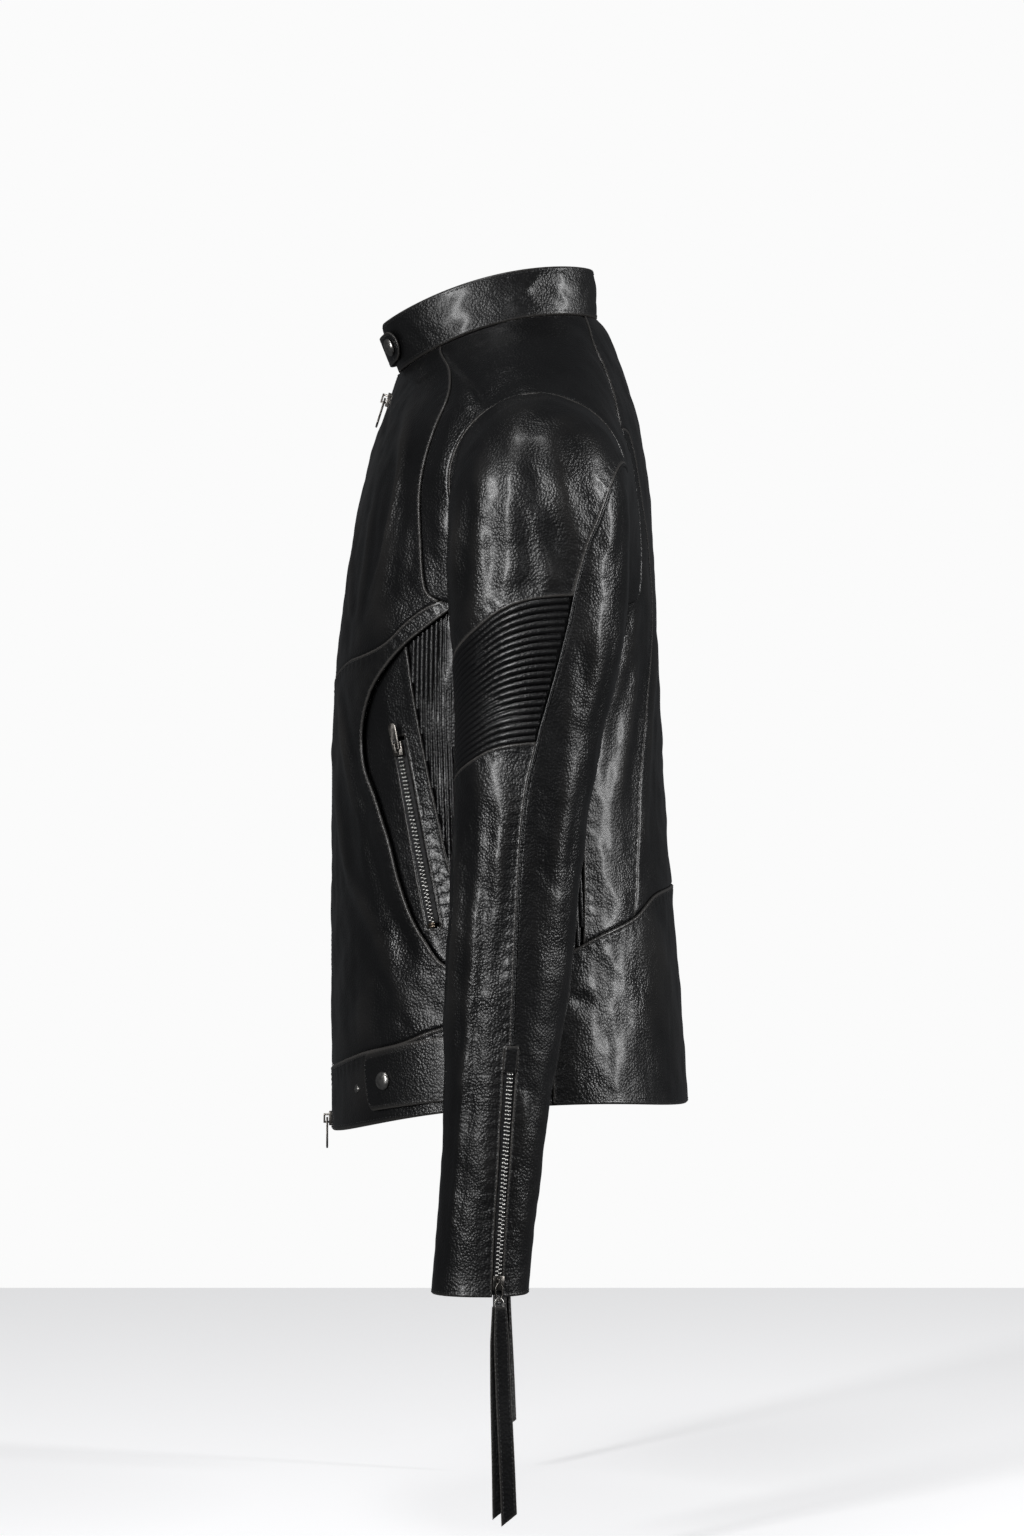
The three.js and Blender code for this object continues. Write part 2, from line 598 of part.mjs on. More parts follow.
const liningColumns = anglesAt(0).length - 2;
const bodyHung = (r, c) => {
  if (r < 1) {
    return SEWN - 1.4;
  }
  const atEdge = r > levels.length - 2 || c < 1 || c > liningColumns - 2;
  return atEdge ? SEWN : HUNG;
};
const armholeCircle = Array.from({ length: 24 }, (_, i) => {
  const turn = (i / 24) * 2 * Math.PI;
  const radius = ARMHOLE_RADIUS - 5;
  return new THREE.Vector2(ARMHOLE_Y + radius * Math.cos(turn), ARMHOLE_Z + radius * Math.sin(turn));
});
const armTunnel = sidePrism(armholeCircle, 30, ARMHOLE_X + 20);
const liningLevels = [0.15, ...levels.slice(1)];
const bodyLining = bodyShell(bodyHung, (r, c) => bodyHung(r, c) - LINING, 1, liningLevels);
addPiece("body_lining", bodyLining.subtract(armTunnel).subtract(mirrored(armTunnel)), "lining");

// The pocket bag hangs between the pocket panel and the lining.
const bagPlaces = [[47, 6.9], [57, 6.8], [66, 7.2], [72.5, 7.8], [73, 8.25], [66, 8.22], [60, 7.85], [52, 7.35]];
const bagOutline = bagPlaces.map(([a, b]) => bodyPoint(a, b, 0)).map((p) => new THREE.Vector2(p.y, p.z));
const bagLayer = bodyShell(() => -LEATHER - 1.6, () => HUNG + 0.8);
const pocketBag = bagLayer.intersect(sidePrism(bagOutline, 40, ARMHOLE_X));
addPiece("pocket_bag_left", pocketBag, "lining");
addPiece("pocket_bag_right", mirrored(pocketBag), "lining");

// ---------------------------------------------------------------- collar
// The collar stands on the neck ring and leans in a little towards its top.
const collarTop = { front: -17 + COLLAR_HEIGHT, side: 17 + COLLAR_HEIGHT, back: 26 + COLLAR_HEIGHT + 2 };
function collarSurface(angle, share) {
  const base = bodySurface(angle, 0);
  const [c, s] = [Math.cos(angle * degrees), Math.sin(angle * degrees)];
  const { front, side, back } = collarTop;
  const height = side + ((front - back) / 2) * c + ((front + back) / 2 - side) * c * c;
  const top = new THREE.Vector3((NECK_HALF - 6) * s, -10.5 - 85.5 * c, height);
  base.z += SEAM_GAP;
  return base.lerp(top, share);
}

function collarPoint(angle, share, out) {
  const height = Math.min(Math.max(share, 0.02), 0.98);
  const normal = normalOf(collarSurface, angle, height, 0.5, 0.02).negate();
  return collarSurface(angle, share).addScaledVector(normal, out);
}

const collarAngle = Math.asin(FRONT_EDGE / NECK_HALF) / degrees;
const COLLAR_COLUMNS = 25;
const collar = sheet(3, COLLAR_COLUMNS, false, (r, c) => {
  const angle = collarAngle + ((360 - 2 * collarAngle) * c) / (COLLAR_COLUMNS - 1);
  return [collarPoint(angle, r / 2, 0), collarPoint(angle, r / 2, -COLLAR_THICKNESS)];
});
addPiece("collar", collar, "leather");

// ---------------------------------------------------------------- snaps
// A round piece on its own axis, with +Y outwards in the profile, set at a point on a frame.
function turned(profile, frame) {
  const points = profile.map(([x, y]) => new THREE.Vector2(x, y));
  const geometry = new THREE.LatheGeometry(points, 12);
  return placed(solidOf(geometry.rotateX(Math.PI / 2)), frame);
}

function snapCap(frame) {
  const [r, top] = [SNAP_RADIUS, 3.4];
  const profile = [[0, 0], [r - 0.8, 0], [r, 0.9], [r * 0.9, 2], [r * 0.6, 3], [r * 0.3, top - 0.1], [0, top]];
  return turned(profile, frame);
}

function snapStud(frame) {
  const r = STUD_RADIUS;
  const profile = [[0, 0], [r, 0], [r, 0.9], [r * 0.5, 1.1], [r * 0.55, 1.9], [0, 1.9]];
  return turned(profile, frame);
}

function surfaceFrame(point, a, b, out) {
  const origin = point(a, b, out);
  const away = point(a, b, out + 1).sub(origin).normalize();
  const up = new THREE.Vector3(0, 0, 1).addScaledVector(away, -away.z).normalize();
  return new THREE.Matrix4().makeBasis(up.clone().cross(away), up, away).setPosition(origin);
}

// The collar's tab crosses the zip and snaps on the wearer's left.
const TAB_ROOT = -24; // angle of the tab's stitched end, on the wearer's right
const TAB_TIP = 28;
const TAB_LIFT = 2.6; // room for the stud under the tab
const SNAP_ANGLE = 19;
const tabRise = [0.18, 0.78];
const collarTab = sheet(2, 9, false, (r, c) => {
  const angle = TAB_ROOT + ((TAB_TIP - TAB_ROOT) * c) / 8;
  const lift = c === 0 ? SEAT_GAP : TAB_LIFT;
  return [collarPoint(angle, tabRise[r], lift + LEATHER), collarPoint(angle, tabRise[r], lift)];
});
addPiece("collar_tab", collarTab, "leather");
const snapRise = (tabRise[0] + tabRise[1]) / 2;
addPiece(
  "collar_snap_cap",
  snapCap(surfaceFrame(collarPoint, SNAP_ANGLE, snapRise, TAB_LIFT + LEATHER + SEAT_GAP)),
  "nickel",
);
addPiece("collar_snap_stud", snapStud(surfaceFrame(collarPoint, SNAP_ANGLE, snapRise, SEAT_GAP)), "nickel");

// Adjusting tabs lie over the hem and swing about their stitched rear ends.
const hemTabFront = [[41.5, 9.36], [44.5, 9.83]];
const HEM_TAB_REAR = 82;
const HEM_TAB_LIFT = 1.7; // room under the tab for the stud it covers
const HEM_TAB_SEAT = 0.1; // its sewn end, above the curve that the flat facets under it cut short
const hemTab = sheet(2, 7, false, (r, c) => {
  const [startAngle, level] = hemTabFront[r];
  const angle = startAngle + ((HEM_TAB_REAR - startAngle) * c) / 6;
  const rise = ((c / 6) * -0.16) * (1 - r);
  const lift = c === 6 ? HEM_TAB_SEAT : HEM_TAB_LIFT;
  return [bodyPoint(angle, level + rise, lift + LEATHER), bodyPoint(angle, level + rise, lift)];
});
const hemCap = snapCap(surfaceFrame(bodyPoint, 52, 9.57, HEM_TAB_LIFT + LEATHER + SEAT_GAP));
const hemStud = snapStud(surfaceFrame(bodyPoint, 37.6, 9.62, SEAT_GAP));
addPiece("hem_tab_left", hemTab, "leather");
addPiece("hem_tab_right", mirrored(hemTab), "leather");
addPiece("hem_snap_cap_left", hemCap, "nickel");
addPiece("hem_snap_cap_right", mirrored(hemCap), "nickel");
addPiece("hem_stud_left", hemStud, "nickel");
addPiece("hem_stud_right", mirrored(hemStud), "nickel");

// ---------------------------------------------------------------- hanger loop
// A leather loop sewn inside the back of the neck; the jacket hangs on a hook by it.
const loopPath = new THREE.CatmullRomCurve3([
  new THREE.Vector3(-32, 64.6, 25),
  new THREE.Vector3(-22, 65, 14),
  new THREE.Vector3(0, 65, 9),
  new THREE.Vector3(22, 65, 14),
  new THREE.Vector3(32, 64.6, 25),
]);
const loopSection = new THREE.Shape([
  new THREE.Vector2(-1, -3.5),
  new THREE.Vector2(1, -3.5),
  new THREE.Vector2(1, 3.5),
  new THREE.Vector2(-1, 3.5),
]);
const loopGeometry = new THREE.ExtrudeGeometry(loopSection, { extrudePath: loopPath, steps: 12 });
addPiece("hanger_loop", solidOf(loopGeometry), "leather");

// ---------------------------------------------------------------- main zip
// Each half is a cloth tape with its row of teeth, following the front edge.
const TAPE_OUT = -LEATHER - 0.6;
const TAPE_IN = TAPE_OUT - 1;
const TEETH_OUT = 0.8;
const zipLevels = [0.12, ...levels.slice(1, -1), HEM_LEVEL - 0.03];
const zipHalf = loft(
  zipLevels.map((level) => {
    const at = (x, out) => bodyPoint(angleAtX(x, level), level, out).setX(x);
    return [
      at(0.25, TAPE_IN),
      at(ZIP_TAPE, TAPE_IN),
      at(ZIP_TAPE, TAPE_OUT),
      at(TEETH_HALF, TAPE_OUT),
      at(TEETH_HALF, TEETH_OUT),
      at(0.25, TEETH_OUT),
    ];
  }),
);
addPiece("main_zip_left", zipHalf, "tape");
addPiece("main_zip_right", mirrored(zipHalf), "tape");

// ---------------------------------------------------------------- sliders and pulls
// Drawn with X across the zip, Y up along it and Z outwards. The slider straddles the
// teeth, and the pull's cross bar is caught under the slider's bridge.
const SLIDER_LENGTH = 11;
const PLATE = 1.6;
const BRIDGE_WINDOW = 3.1;
const BRIDGE = 1.4;
const PULL_THICKNESS = 1.4;

function zipSlider(teethHalf, teethOut) {
  const plateAt = teethOut + SEAT_GAP;
  const side = teethHalf + SEAT_GAP + 0.7;
  const top = plateAt + PLATE;
  const flangeDepth = 2.4;
  const flange = (x) => box(1.4, SLIDER_LENGTH, flangeDepth + PLATE, x, 0, top - (flangeDepth + PLATE) / 2);
  const post = (y) => box(2, 1.6, BRIDGE_WINDOW + BRIDGE + 0.4, 0, y, top + (BRIDGE_WINDOW + BRIDGE - 0.4) / 2);
  return union([
    box(2 * side + 1.4, SLIDER_LENGTH, PLATE, 0, 0, plateAt + PLATE / 2),
    flange(side),
    flange(-side),
    post(3),
    post(-3),
    box(2, 7.6, BRIDGE, 0, 0, top + BRIDGE_WINDOW + BRIDGE / 2),
  ]);
}

// Height of a pull's hinge line above the zip's surface.
function pullHeight(teethOut) {
  return teethOut + SEAT_GAP + PLATE + BRIDGE_WINDOW / 2;
}

function pullOutline(length, width) {
  const shape = new THREE.Shape();
  shape.moveTo(-3.2, 0.7);
  shape.lineTo(-width / 2, -length + width / 2);
  shape.absarc(0, -length + width / 2, width / 2, Math.PI, 2 * Math.PI, false);
  shape.lineTo(3.2, 0.7);
  const slot = new THREE.Path();
  slot.moveTo(-1.7, -0.7);
  slot.lineTo(1.7, -0.7);
  slot.lineTo(1.7, -7.3);
  slot.lineTo(-1.7, -7.3);
  shape.holes.push(slot);
  return shape;
}

function zipPull(length, width) {
  const geometry = new THREE.ExtrudeGeometry(pullOutline(length, width), {
    depth: PULL_THICKNESS,
    bevelEnabled: false,
    curveSegments: 8,
  });
  return solidOf(geometry.translate(0, 0, -PULL_THICKNESS / 2));
}

// A doubled leather strap with slanted tips, on a short metal loop.
function strapPull() {
  const [half, top] = [STRAP_WIDTH / 2, -13];
  const strap = new THREE.Shape([
    new THREE.Vector2(-half, -STRAP_LENGTH + 8),
    new THREE.Vector2(half, -STRAP_LENGTH),
    new THREE.Vector2(half, top),
    new THREE.Vector2(-half, top),
  ]);
  const geometry = new THREE.ExtrudeGeometry(strap, { depth: 3, bevelEnabled: false });
  return zipPull(16, 6.4).add(solidOf(geometry.translate(0, 0, -1.5)));
}

const up = new THREE.Vector3(0, 0, 1);
const forward = new THREE.Vector3(0, -1, 0);

// A slider with its pull, on a frame; the pull may hang in a frame of its own.
function addZipEnd(name, frame, pull, pullFrame, sides) {
  const teethHalf = name.startsWith("main") ? TEETH_HALF : SMALL_TEETH_HALF;
  const teethOut = name.startsWith("main") ? TEETH_OUT : 1.2;
  const slider = placed(zipSlider(teethHalf, teethOut), frame);
  const handle = placed(pull, pullFrame);
  for (const side of sides) {
    const sided = side === "_right" ? mirrored : (solid) => solid;
    addPiece(`${name}_slider${side}`, sided(slider), "gunmetal");
    addPiece(`${name}_pull${side}`, sided(handle), pull === strap ? "leather" : "gunmetal");
  }
}

// Where a pull hinges, in the frame of its slider.
function hingeFrame(frame, height, turned180) {
  const turn = turned180 ? new THREE.Matrix4().makeRotationZ(Math.PI) : new THREE.Matrix4();
  return frame.clone().multiply(new THREE.Matrix4().makeTranslation(0, 0, height)).multiply(turn);
}

const mainPull = zipPull(PULL_LENGTH, 9);
const pocketPull = zipPull(POCKET_PULL_LENGTH, 7);
const strap = strapPull();

// The upper slider rides the curved front edge; it is set by its height on that curve.
const UPPER_SLIDER_Z = -38;
const slope = Math.asin((UPPER_SLIDER_Z + STRAIGHT_FROM) / FRONT_RADIUS);
const upperOrigin = new THREE.Vector3(0, frontAt(UPPER_SLIDER_Z), UPPER_SLIDER_Z);
const upperAlong = new THREE.Vector3(0, Math.sin(slope), Math.cos(slope));
const upperOut = new THREE.Vector3(0, -Math.cos(slope), Math.sin(slope));
const upperFrame = zipFrame(upperOrigin, upperAlong, upperOut);
addZipEnd("main_zip_upper", upperFrame, mainPull, hingeFrame(upperFrame, pullHeight(TEETH_OUT)), [""]);

const LOWER_SLIDER_Z = -(BODY_LENGTH + 28) + SLIDER_LENGTH / 2 + 1.5;
const lowerFrame = zipFrame(new THREE.Vector3(0, -CHEST_FRONT, LOWER_SLIDER_Z), up, forward);
addZipEnd("main_zip_lower", lowerFrame, mainPull, hingeFrame(lowerFrame, pullHeight(TEETH_OUT)), [""]);

// ---------------------------------------------------------------- pocket and cuff zips
function smallChain(length) {
  const tape = box(2 * SMALL_TAPE_HALF, length, 1, 0, length / 2, -1.6);
  const teeth = box(2 * SMALL_TEETH_HALF, length, 2.6, 0, length / 2, -0.1);
  return tape.add(teeth);
}

const pocketChain = placed(smallChain(pocketLength), pocketFrame);
addPiece("pocket_zip_left", pocketChain, "tape");
addPiece("pocket_zip_right", mirrored(pocketChain), "tape");
const pocketSlide = new THREE.Matrix4().makeTranslation(0, pocketLength - SLIDER_LENGTH / 2 - 0.5, 0);
const pocketSliderFrame = pocketFrame.clone().multiply(pocketSlide);
const pocketHinge = hingeFrame(pocketSliderFrame, pullHeight(1.2), true);
addZipEnd("pocket_zip", pocketSliderFrame, pocketPull, pocketHinge, ["_left", "_right"]);

const cuffChain = placed(smallChain(cuffZipLength), cuffZipFrame);
addPiece("sleeve_zip_left", cuffChain, "tape");
addPiece("sleeve_zip_right", mirrored(cuffChain), "tape");
const cuffSlide = new THREE.Matrix4().makeTranslation(0, SLIDER_LENGTH / 2 + 0.5, 0);
const cuffSliderFrame = cuffZipFrame.clone().multiply(cuffSlide);
const cuffHinge = new THREE.Vector3(0, 0, pullHeight(1.2)).applyMatrix4(cuffSliderFrame);
const strapFrame = zipFrame(cuffHinge, up, cuffZipOut.clone().setZ(0).normalize());
addZipEnd("sleeve_zip", cuffSliderFrame, strap, strapFrame, ["_left", "_right"]);

export default jacket;
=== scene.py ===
# %% [markdown]
# # Leather riding jacket
# A riding jacket is a shell of about twenty leather panels, sewn edge to edge over a cloth
# lining. Everything here is drawn in millimetres on two smooth surfaces, one for the body
# and one for the sleeve, and turned to metres when a mesh is made. The joints, sizes and
# places are those of the frame, which is loaded first and never changed.

# %% Load the frame
import json

import bmesh
import bpy
import numpy as np
from mathutils import Matrix, Vector
from mathutils.geometry import delaunay_2d_cdt

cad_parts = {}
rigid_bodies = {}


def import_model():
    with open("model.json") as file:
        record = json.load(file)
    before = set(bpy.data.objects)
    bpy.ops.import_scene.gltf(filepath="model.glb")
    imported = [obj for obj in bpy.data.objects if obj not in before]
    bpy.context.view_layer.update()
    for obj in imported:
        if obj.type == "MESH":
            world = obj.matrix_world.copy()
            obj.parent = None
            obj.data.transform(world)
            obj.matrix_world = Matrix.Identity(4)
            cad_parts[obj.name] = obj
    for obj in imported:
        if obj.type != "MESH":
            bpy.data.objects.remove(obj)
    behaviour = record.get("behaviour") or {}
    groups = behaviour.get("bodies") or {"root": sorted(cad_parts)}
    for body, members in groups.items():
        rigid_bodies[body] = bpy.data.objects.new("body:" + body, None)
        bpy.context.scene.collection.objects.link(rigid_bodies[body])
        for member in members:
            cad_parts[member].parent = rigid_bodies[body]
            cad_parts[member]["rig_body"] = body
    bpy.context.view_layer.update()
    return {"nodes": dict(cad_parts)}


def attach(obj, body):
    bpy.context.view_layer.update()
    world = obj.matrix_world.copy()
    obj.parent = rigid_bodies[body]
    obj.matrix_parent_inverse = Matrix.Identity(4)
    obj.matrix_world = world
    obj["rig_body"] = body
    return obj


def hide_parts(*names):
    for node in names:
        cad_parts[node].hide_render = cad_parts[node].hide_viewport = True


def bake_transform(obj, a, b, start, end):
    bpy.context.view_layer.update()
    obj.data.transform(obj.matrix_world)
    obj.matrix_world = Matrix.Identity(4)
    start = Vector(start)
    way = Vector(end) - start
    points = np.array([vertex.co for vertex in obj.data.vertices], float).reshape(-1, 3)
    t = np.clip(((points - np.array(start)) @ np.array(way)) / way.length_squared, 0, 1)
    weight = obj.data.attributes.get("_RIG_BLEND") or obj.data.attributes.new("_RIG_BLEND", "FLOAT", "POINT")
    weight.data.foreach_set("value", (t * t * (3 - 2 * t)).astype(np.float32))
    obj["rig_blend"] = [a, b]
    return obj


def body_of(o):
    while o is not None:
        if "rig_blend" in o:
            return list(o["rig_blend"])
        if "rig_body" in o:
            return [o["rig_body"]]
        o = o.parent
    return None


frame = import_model()
MM = 0.001
SIDES = {"left": 1, "right": -1}


def new_object(name, data):
    made = bpy.data.objects.new(name, data)
    bpy.context.scene.collection.objects.link(made)
    return made


def keep_result(made):
    """Makes what the modifiers give the object's own mesh, and removes them."""
    bpy.context.view_layer.update()
    mesh = bpy.data.meshes.new_from_object(made.evaluated_get(bpy.context.evaluated_depsgraph_get()))
    made.modifiers.clear()
    made.data = mesh
    return made


# %% [markdown]
# ## Camera
# The jacket is seen square on from the wearer's left, from four metres away, so a long
# lens keeps the near sleeve in proportion with the body behind it.

# %% Camera
CAMERA_DISTANCE = 4000
SENSOR = 36
VIEW_HEIGHT = 1228.8  # what the frame takes in, top to bottom, in the jacket's middle plane
camera_data = bpy.data.cameras.new("camera")
camera_data.sensor_fit = "VERTICAL"
camera_data.sensor_height = SENSOR
camera_data.lens = SENSOR * CAMERA_DISTANCE / VIEW_HEIGHT
camera = new_object("camera", camera_data)
camera.matrix_world = Matrix((
    (0, 0, 1, CAMERA_DISTANCE * MM), (1, 0, 0, 0.0096), (0, 1, 0, -0.332), (0, 0, 0, 1)))
bpy.context.scene.camera = camera
print("camera lens", round(camera_data.lens, 1), "mm")

# %% [markdown]
# ## Smooth values
# Garment sections change slowly down the body, so a few rows of numbers are enough and a
# Catmull-Rom curve runs through them. Numpy does it for thousands of points at once.

# %% Smooth values through rows
def smooth(rows, place):
    rows = np.asarray(rows, float)
    place = np.clip(np.asarray(place, float), 0, len(rows) - 1)
    i = np.minimum(place.astype(int), len(rows) - 2)
    t = (place - i)[..., None]
    before, start, end, after = (rows[np.clip(i + k, 0, len(rows) - 1)] for k in (-1, 0, 1, 2))
    bend = 2 * before - 5 * start + 4 * end - after
    twist = 3 * start - before - 3 * end + after
    return 0.5 * (2 * start + (end - before) * t + bend * t**2 + twist * t**3)


def unit(vectors):
    return vectors / np.maximum(np.linalg.norm(vectors, axis=-1, keepdims=True), 1e-9)


def surface_normal(surface, a, b, step_a, step_b):
    along_a = surface(a + step_a, b) - surface(a - step_a, b)
    along_b = surface(a, b + step_b) - surface(a, b - step_b)
    return unit(np.cross(along_b, along_a))


print("halfway through 0, 10, 30:", smooth([[0], [10], [30]], 1.5))

# %% [markdown]
# ## The body's surface
# Each section is a rounded loop, as on a tailor's dummy: the heights of its front, side
# and back, how far back it reaches, its half width and how square it is. The front edge
# is an arc over the chest that turns straight below it.

# %% Body surface
NECK_HALF, CHEST_HALF, WAIST_HALF, HEM_HALF = 72, 184, 179, 188
BODY_LENGTH, ARMPIT_LEVEL, CHEST_FRONT = 591, 260, 134
FRONT_RADIUS, STRAIGHT_FROM = 1000, 338


def lower(share):
    return -ARMPIT_LEVEL - (BODY_LENGTH - ARMPIT_LEVEL) * share


def level_row(share, rear, half, square):
    return [lower(share)] * 3 + [rear, half, square]


SECTIONS = [  # front, side and back heights, rear, half width, squareness
    [-17, 17, 26, 78, NECK_HALF, 2],
    [-33, 0, 8, 89, NECK_HALF + 36, 2],
    [-60, -24, -20, 99, CHEST_HALF - 36, 2.1],
    [-95, -55, -60, 110, CHEST_HALF - 8, 2.3],
    [-140, -110, -115, 118, CHEST_HALF, 2.5],
    [-190, -185, -180, 123, CHEST_HALF, 2.6],
    level_row(0, 127, WAIST_HALF + 3, 2.5),
    level_row(0.24, 131, WAIST_HALF, 2.4),
    level_row(0.51, 138, WAIST_HALF + 1, 2.4),
    level_row(0.775, 144, HEM_HALF - 4, 2.4),
    [lower(1) - 28, lower(1), lower(1) - 6, 149.6, HEM_HALF, 2.4],
]


def front_at(height):
    above = np.maximum(height + STRAIGHT_FROM, 0)
    return -CHEST_FRONT + FRONT_RADIUS - np.sqrt(FRONT_RADIUS**2 - above**2)


def body_surface(angle, level):
    front, side, back, rear, half, square = np.moveaxis(smooth(SECTIONS, level), -1, 0)
    middle, depth = (front_at(front) + rear) / 2, (rear - front_at(front)) / 2
    c, s = np.cos(np.radians(angle)), np.sin(np.radians(angle))
    x, y = (np.sign(v) * np.abs(v) ** (2 / square) for v in (s, c))
    height = side + (front - back) / 2 * c + ((front + back) / 2 - side) * c * c
    return np.stack([half * x, middle - depth * y, height], -1)


def body_normal(angle, level):
    return surface_normal(body_surface, angle, np.clip(level, 0.02, 9.98), 0.5, 0.02)


def angle_at_x(x, level):
    half, square = np.moveaxis(smooth(SECTIONS, level), -1, 0)[4:]
    return np.degrees(np.arcsin((x / half) ** (square / 2)))


print("neck at the back", body_surface(180, 0).round(1), "hem at the front", body_surface(0, 10).round(1))

# %% [markdown]
# ## The sleeve's surface
# The sleeve leaves a round armhole sideways, bends down through a quarter turn and runs
# to the cuff through sections that narrow and drift forward. `turn` goes round it, 0 at
# the inner face, 90 at the back, 180 outside; `reach` runs from the armhole to the cuff.

# %% Sleeve surface
ARMHOLE_X, ARMHOLE_Y, ARMHOLE_Z, ARMHOLE_RADIUS = 188, 30, -114.5, 67
ARM_LENGTH, CUFF_DEPTH, CUFF_WIDTH = 545, 36.4, 33
SLEEVE_HEAD, SHOULDER_BULGE = -100, 10.5
BEND_Z = ARMHOLE_Z - ARMHOLE_RADIUS - 0.5
ARM_DROPS = [0, 63, 123, 218, 318, 418, ARM_LENGTH]
ARM_SECTIONS = [  # middle front to back, half depth, half width, inner face
    [30, 69.5, 51, 2],
    [29, 64, 49, 3],
    [23, 55.5, 46, 6],
    [13.5, 50.3, 43, 9],
    [5.5, 46.7, 40, 12],
    [-4, 40, 36, 15],
    [-14.5, CUFF_DEPTH, CUFF_WIDTH, 17],
]


def sleeve_surface(turn, reach):
    turn, reach = np.broadcast_arrays(np.asarray(turn, float), np.asarray(reach, float))
    c, s = np.cos(np.radians(turn)), np.sin(np.radians(turn))
    place = np.interp(reach, ARM_DROPS, range(len(ARM_DROPS)))
    middle, depth, width, inner = np.moveaxis(smooth(ARM_SECTIONS, place), -1, 0)
    share = np.clip(1 - reach / SLEEVE_HEAD, 0, 1)
    bend = np.radians(90 * share)
    eased = 1 - (1 - share) ** 2  # runs into the straight part without a kink
    head = ARMHOLE_RADIUS + (51 - ARMHOLE_RADIUS) * eased + SHOULDER_BULGE * np.sin(2 * bend) * (1 - share**4)
    width = np.where(reach < 0, head, width)
    depth = np.where(reach < 0, ARMHOLE_RADIUS + 2.5 * share, depth)
    inner = np.where(reach < 0, 0.5 + 1.5 * share, inner)
    radius = inner + width * (1 - c)
    x = ARMHOLE_X + np.where(reach < 0, radius * np.sin(bend), radius)
    z = BEND_Z + np.where(reach < 0, radius * np.cos(bend), -reach)
    return np.stack([x, middle + depth * s, z], -1)


def sleeve_normal(turn, reach):
    normal = -surface_normal(sleeve_surface, turn, np.clip(reach, SLEEVE_HEAD + 1, ARM_LENGTH - 1), 1, 1)
    flat = np.asarray(reach)[..., None] <= SLEEVE_HEAD + 0.01
    return unit(np.where(flat, normal * [0, 1, 1], normal))


print("sleeve head", sleeve_surface(180, -50).round(1), "cuff", sleeve_surface(180, ARM_LENGTH).round(1))

# %% [markdown]
# ## Laying a surface flat
# A panel is easiest to cut on a flat pattern. Each surface gets a pair of rulers that turn
# its two coordinates into millimetres and back, so a spacing, a seam allowance or a stitch
# length means about the same everywhere.

# %% Flat patterns of the body and the sleeve
class Pattern:
    """A surface with rulers: u across and v down, in millimetres."""

    def __init__(self, name, surface, normal, across, down, u, v):
        self.name, self.surface, self.normal = name, surface, normal
        self.across, self.down, self.u, self.v = across, down, u, v

    def flat(self, places):
        places = np.asarray(places, float)
        return np.stack([np.interp(places[..., 0], self.across, self.u),
                         np.interp(places[..., 1], self.down, self.v)], -1)

    def places(self, flat):
        return np.interp(flat[..., 0], self.u, self.across), np.interp(flat[..., 1], self.v, self.down)

    def line(self, places, per_span=10):
        """A smooth seam through a few places, on the flat pattern."""
        spots = smooth(places, np.linspace(0, len(places) - 1, (len(places) - 1) * per_span + 1))
        return self.flat(spots)


def ruler(surface, a, b):
    spots = surface(a, b)
    return np.concatenate([[0], np.cumsum(np.linalg.norm(np.diff(spots, axis=0), axis=1))])


angles = np.linspace(-10, 200, 841)
heights = np.linspace(0, 10, 401)
body_u = ruler(body_surface, angles, np.full(841, 7.0))
body = Pattern("body", body_surface, body_normal, angles, heights, body_u - np.interp(0, angles, body_u),
               ruler(body_surface, np.full(401, 90.0), heights))
turns = np.linspace(-120, 420, 541)
reaches = np.array([SLEEVE_HEAD, 0, ARM_LENGTH], float)
HEAD_STRETCH = 1.6  # the outside of the shoulder bend is longer than its reach
sleeve = Pattern("sleeve", sleeve_surface, sleeve_normal, turns, reaches, turns * 0.95,
                 np.array([SLEEVE_HEAD * HEAD_STRETCH, 0, ARM_LENGTH]))
print("half girth of the body", round(float(np.interp(180, angles, body.u))), "mm")

# %% [markdown]
# ## Seams
# The seam lines are what gives this jacket its character: raglan yokes, a seam that swings
# under the chest and round the pocket, curved side backs and a hem band. Each is a short
# list of places that the seam passes, as (angle, level) or (turn, reach).

# %% Seam lines
RAGLAN_FRONT = [[56, 0], [57, 0.57], [65.2, 1.61], [67.5, 2.5], [63, 3.4], [62.5, 4], [65.5, 4.6],
                [68.8, 5.1]]
RAGLAN_BASE = [[74, 5.24], [90, 5.34], [120, 5.36], [142, 5.3]]
RAGLAN_BACK = [[148.3, 5.17], [152, 4.6], [150.8, 3.8], [143.8, 3.1], [144.5, 2.2], [142.5, 1.2], [150, 0]]
RAGLAN = RAGLAN_FRONT + RAGLAN_BASE + RAGLAN_BACK
CHEST = [[79, 5.2], [69.2, 5.31], [61.3, 5.46], [52.2, 5.67], [40.8, 5.78], [26.5, 5.86], [0.2, 6.1]]
POCKET_FRONT = [[82, 5.24], [77, 5.37], [69.5, 5.53], [61.5, 5.7], [52.8, 5.93], [45.2, 6.2], [40.8, 6.55],
                [42, 6.88], [48, 7.19], [54, 7.53], [58.2, 7.87], [62.8, 8.17], [68.2, 8.4], [75, 8.61],
                [90, 8.7]]
POCKET_BACK = [[109.2, 8.46], [118.5, 8.35], [134.2, 8.21], [148.3, 8.02], [167.8, 7.96], [180.5, 7.95]]
RIB_FRONT = [[61, 5.66], [65.2, 6.26], [68, 6.64], [71, 7.06], [74, 7.44], [77, 7.8], [88, 8.74]]
RIB_BACK = [[113, 5.28], [115, 6], [115, 7], [112, 8.5]]
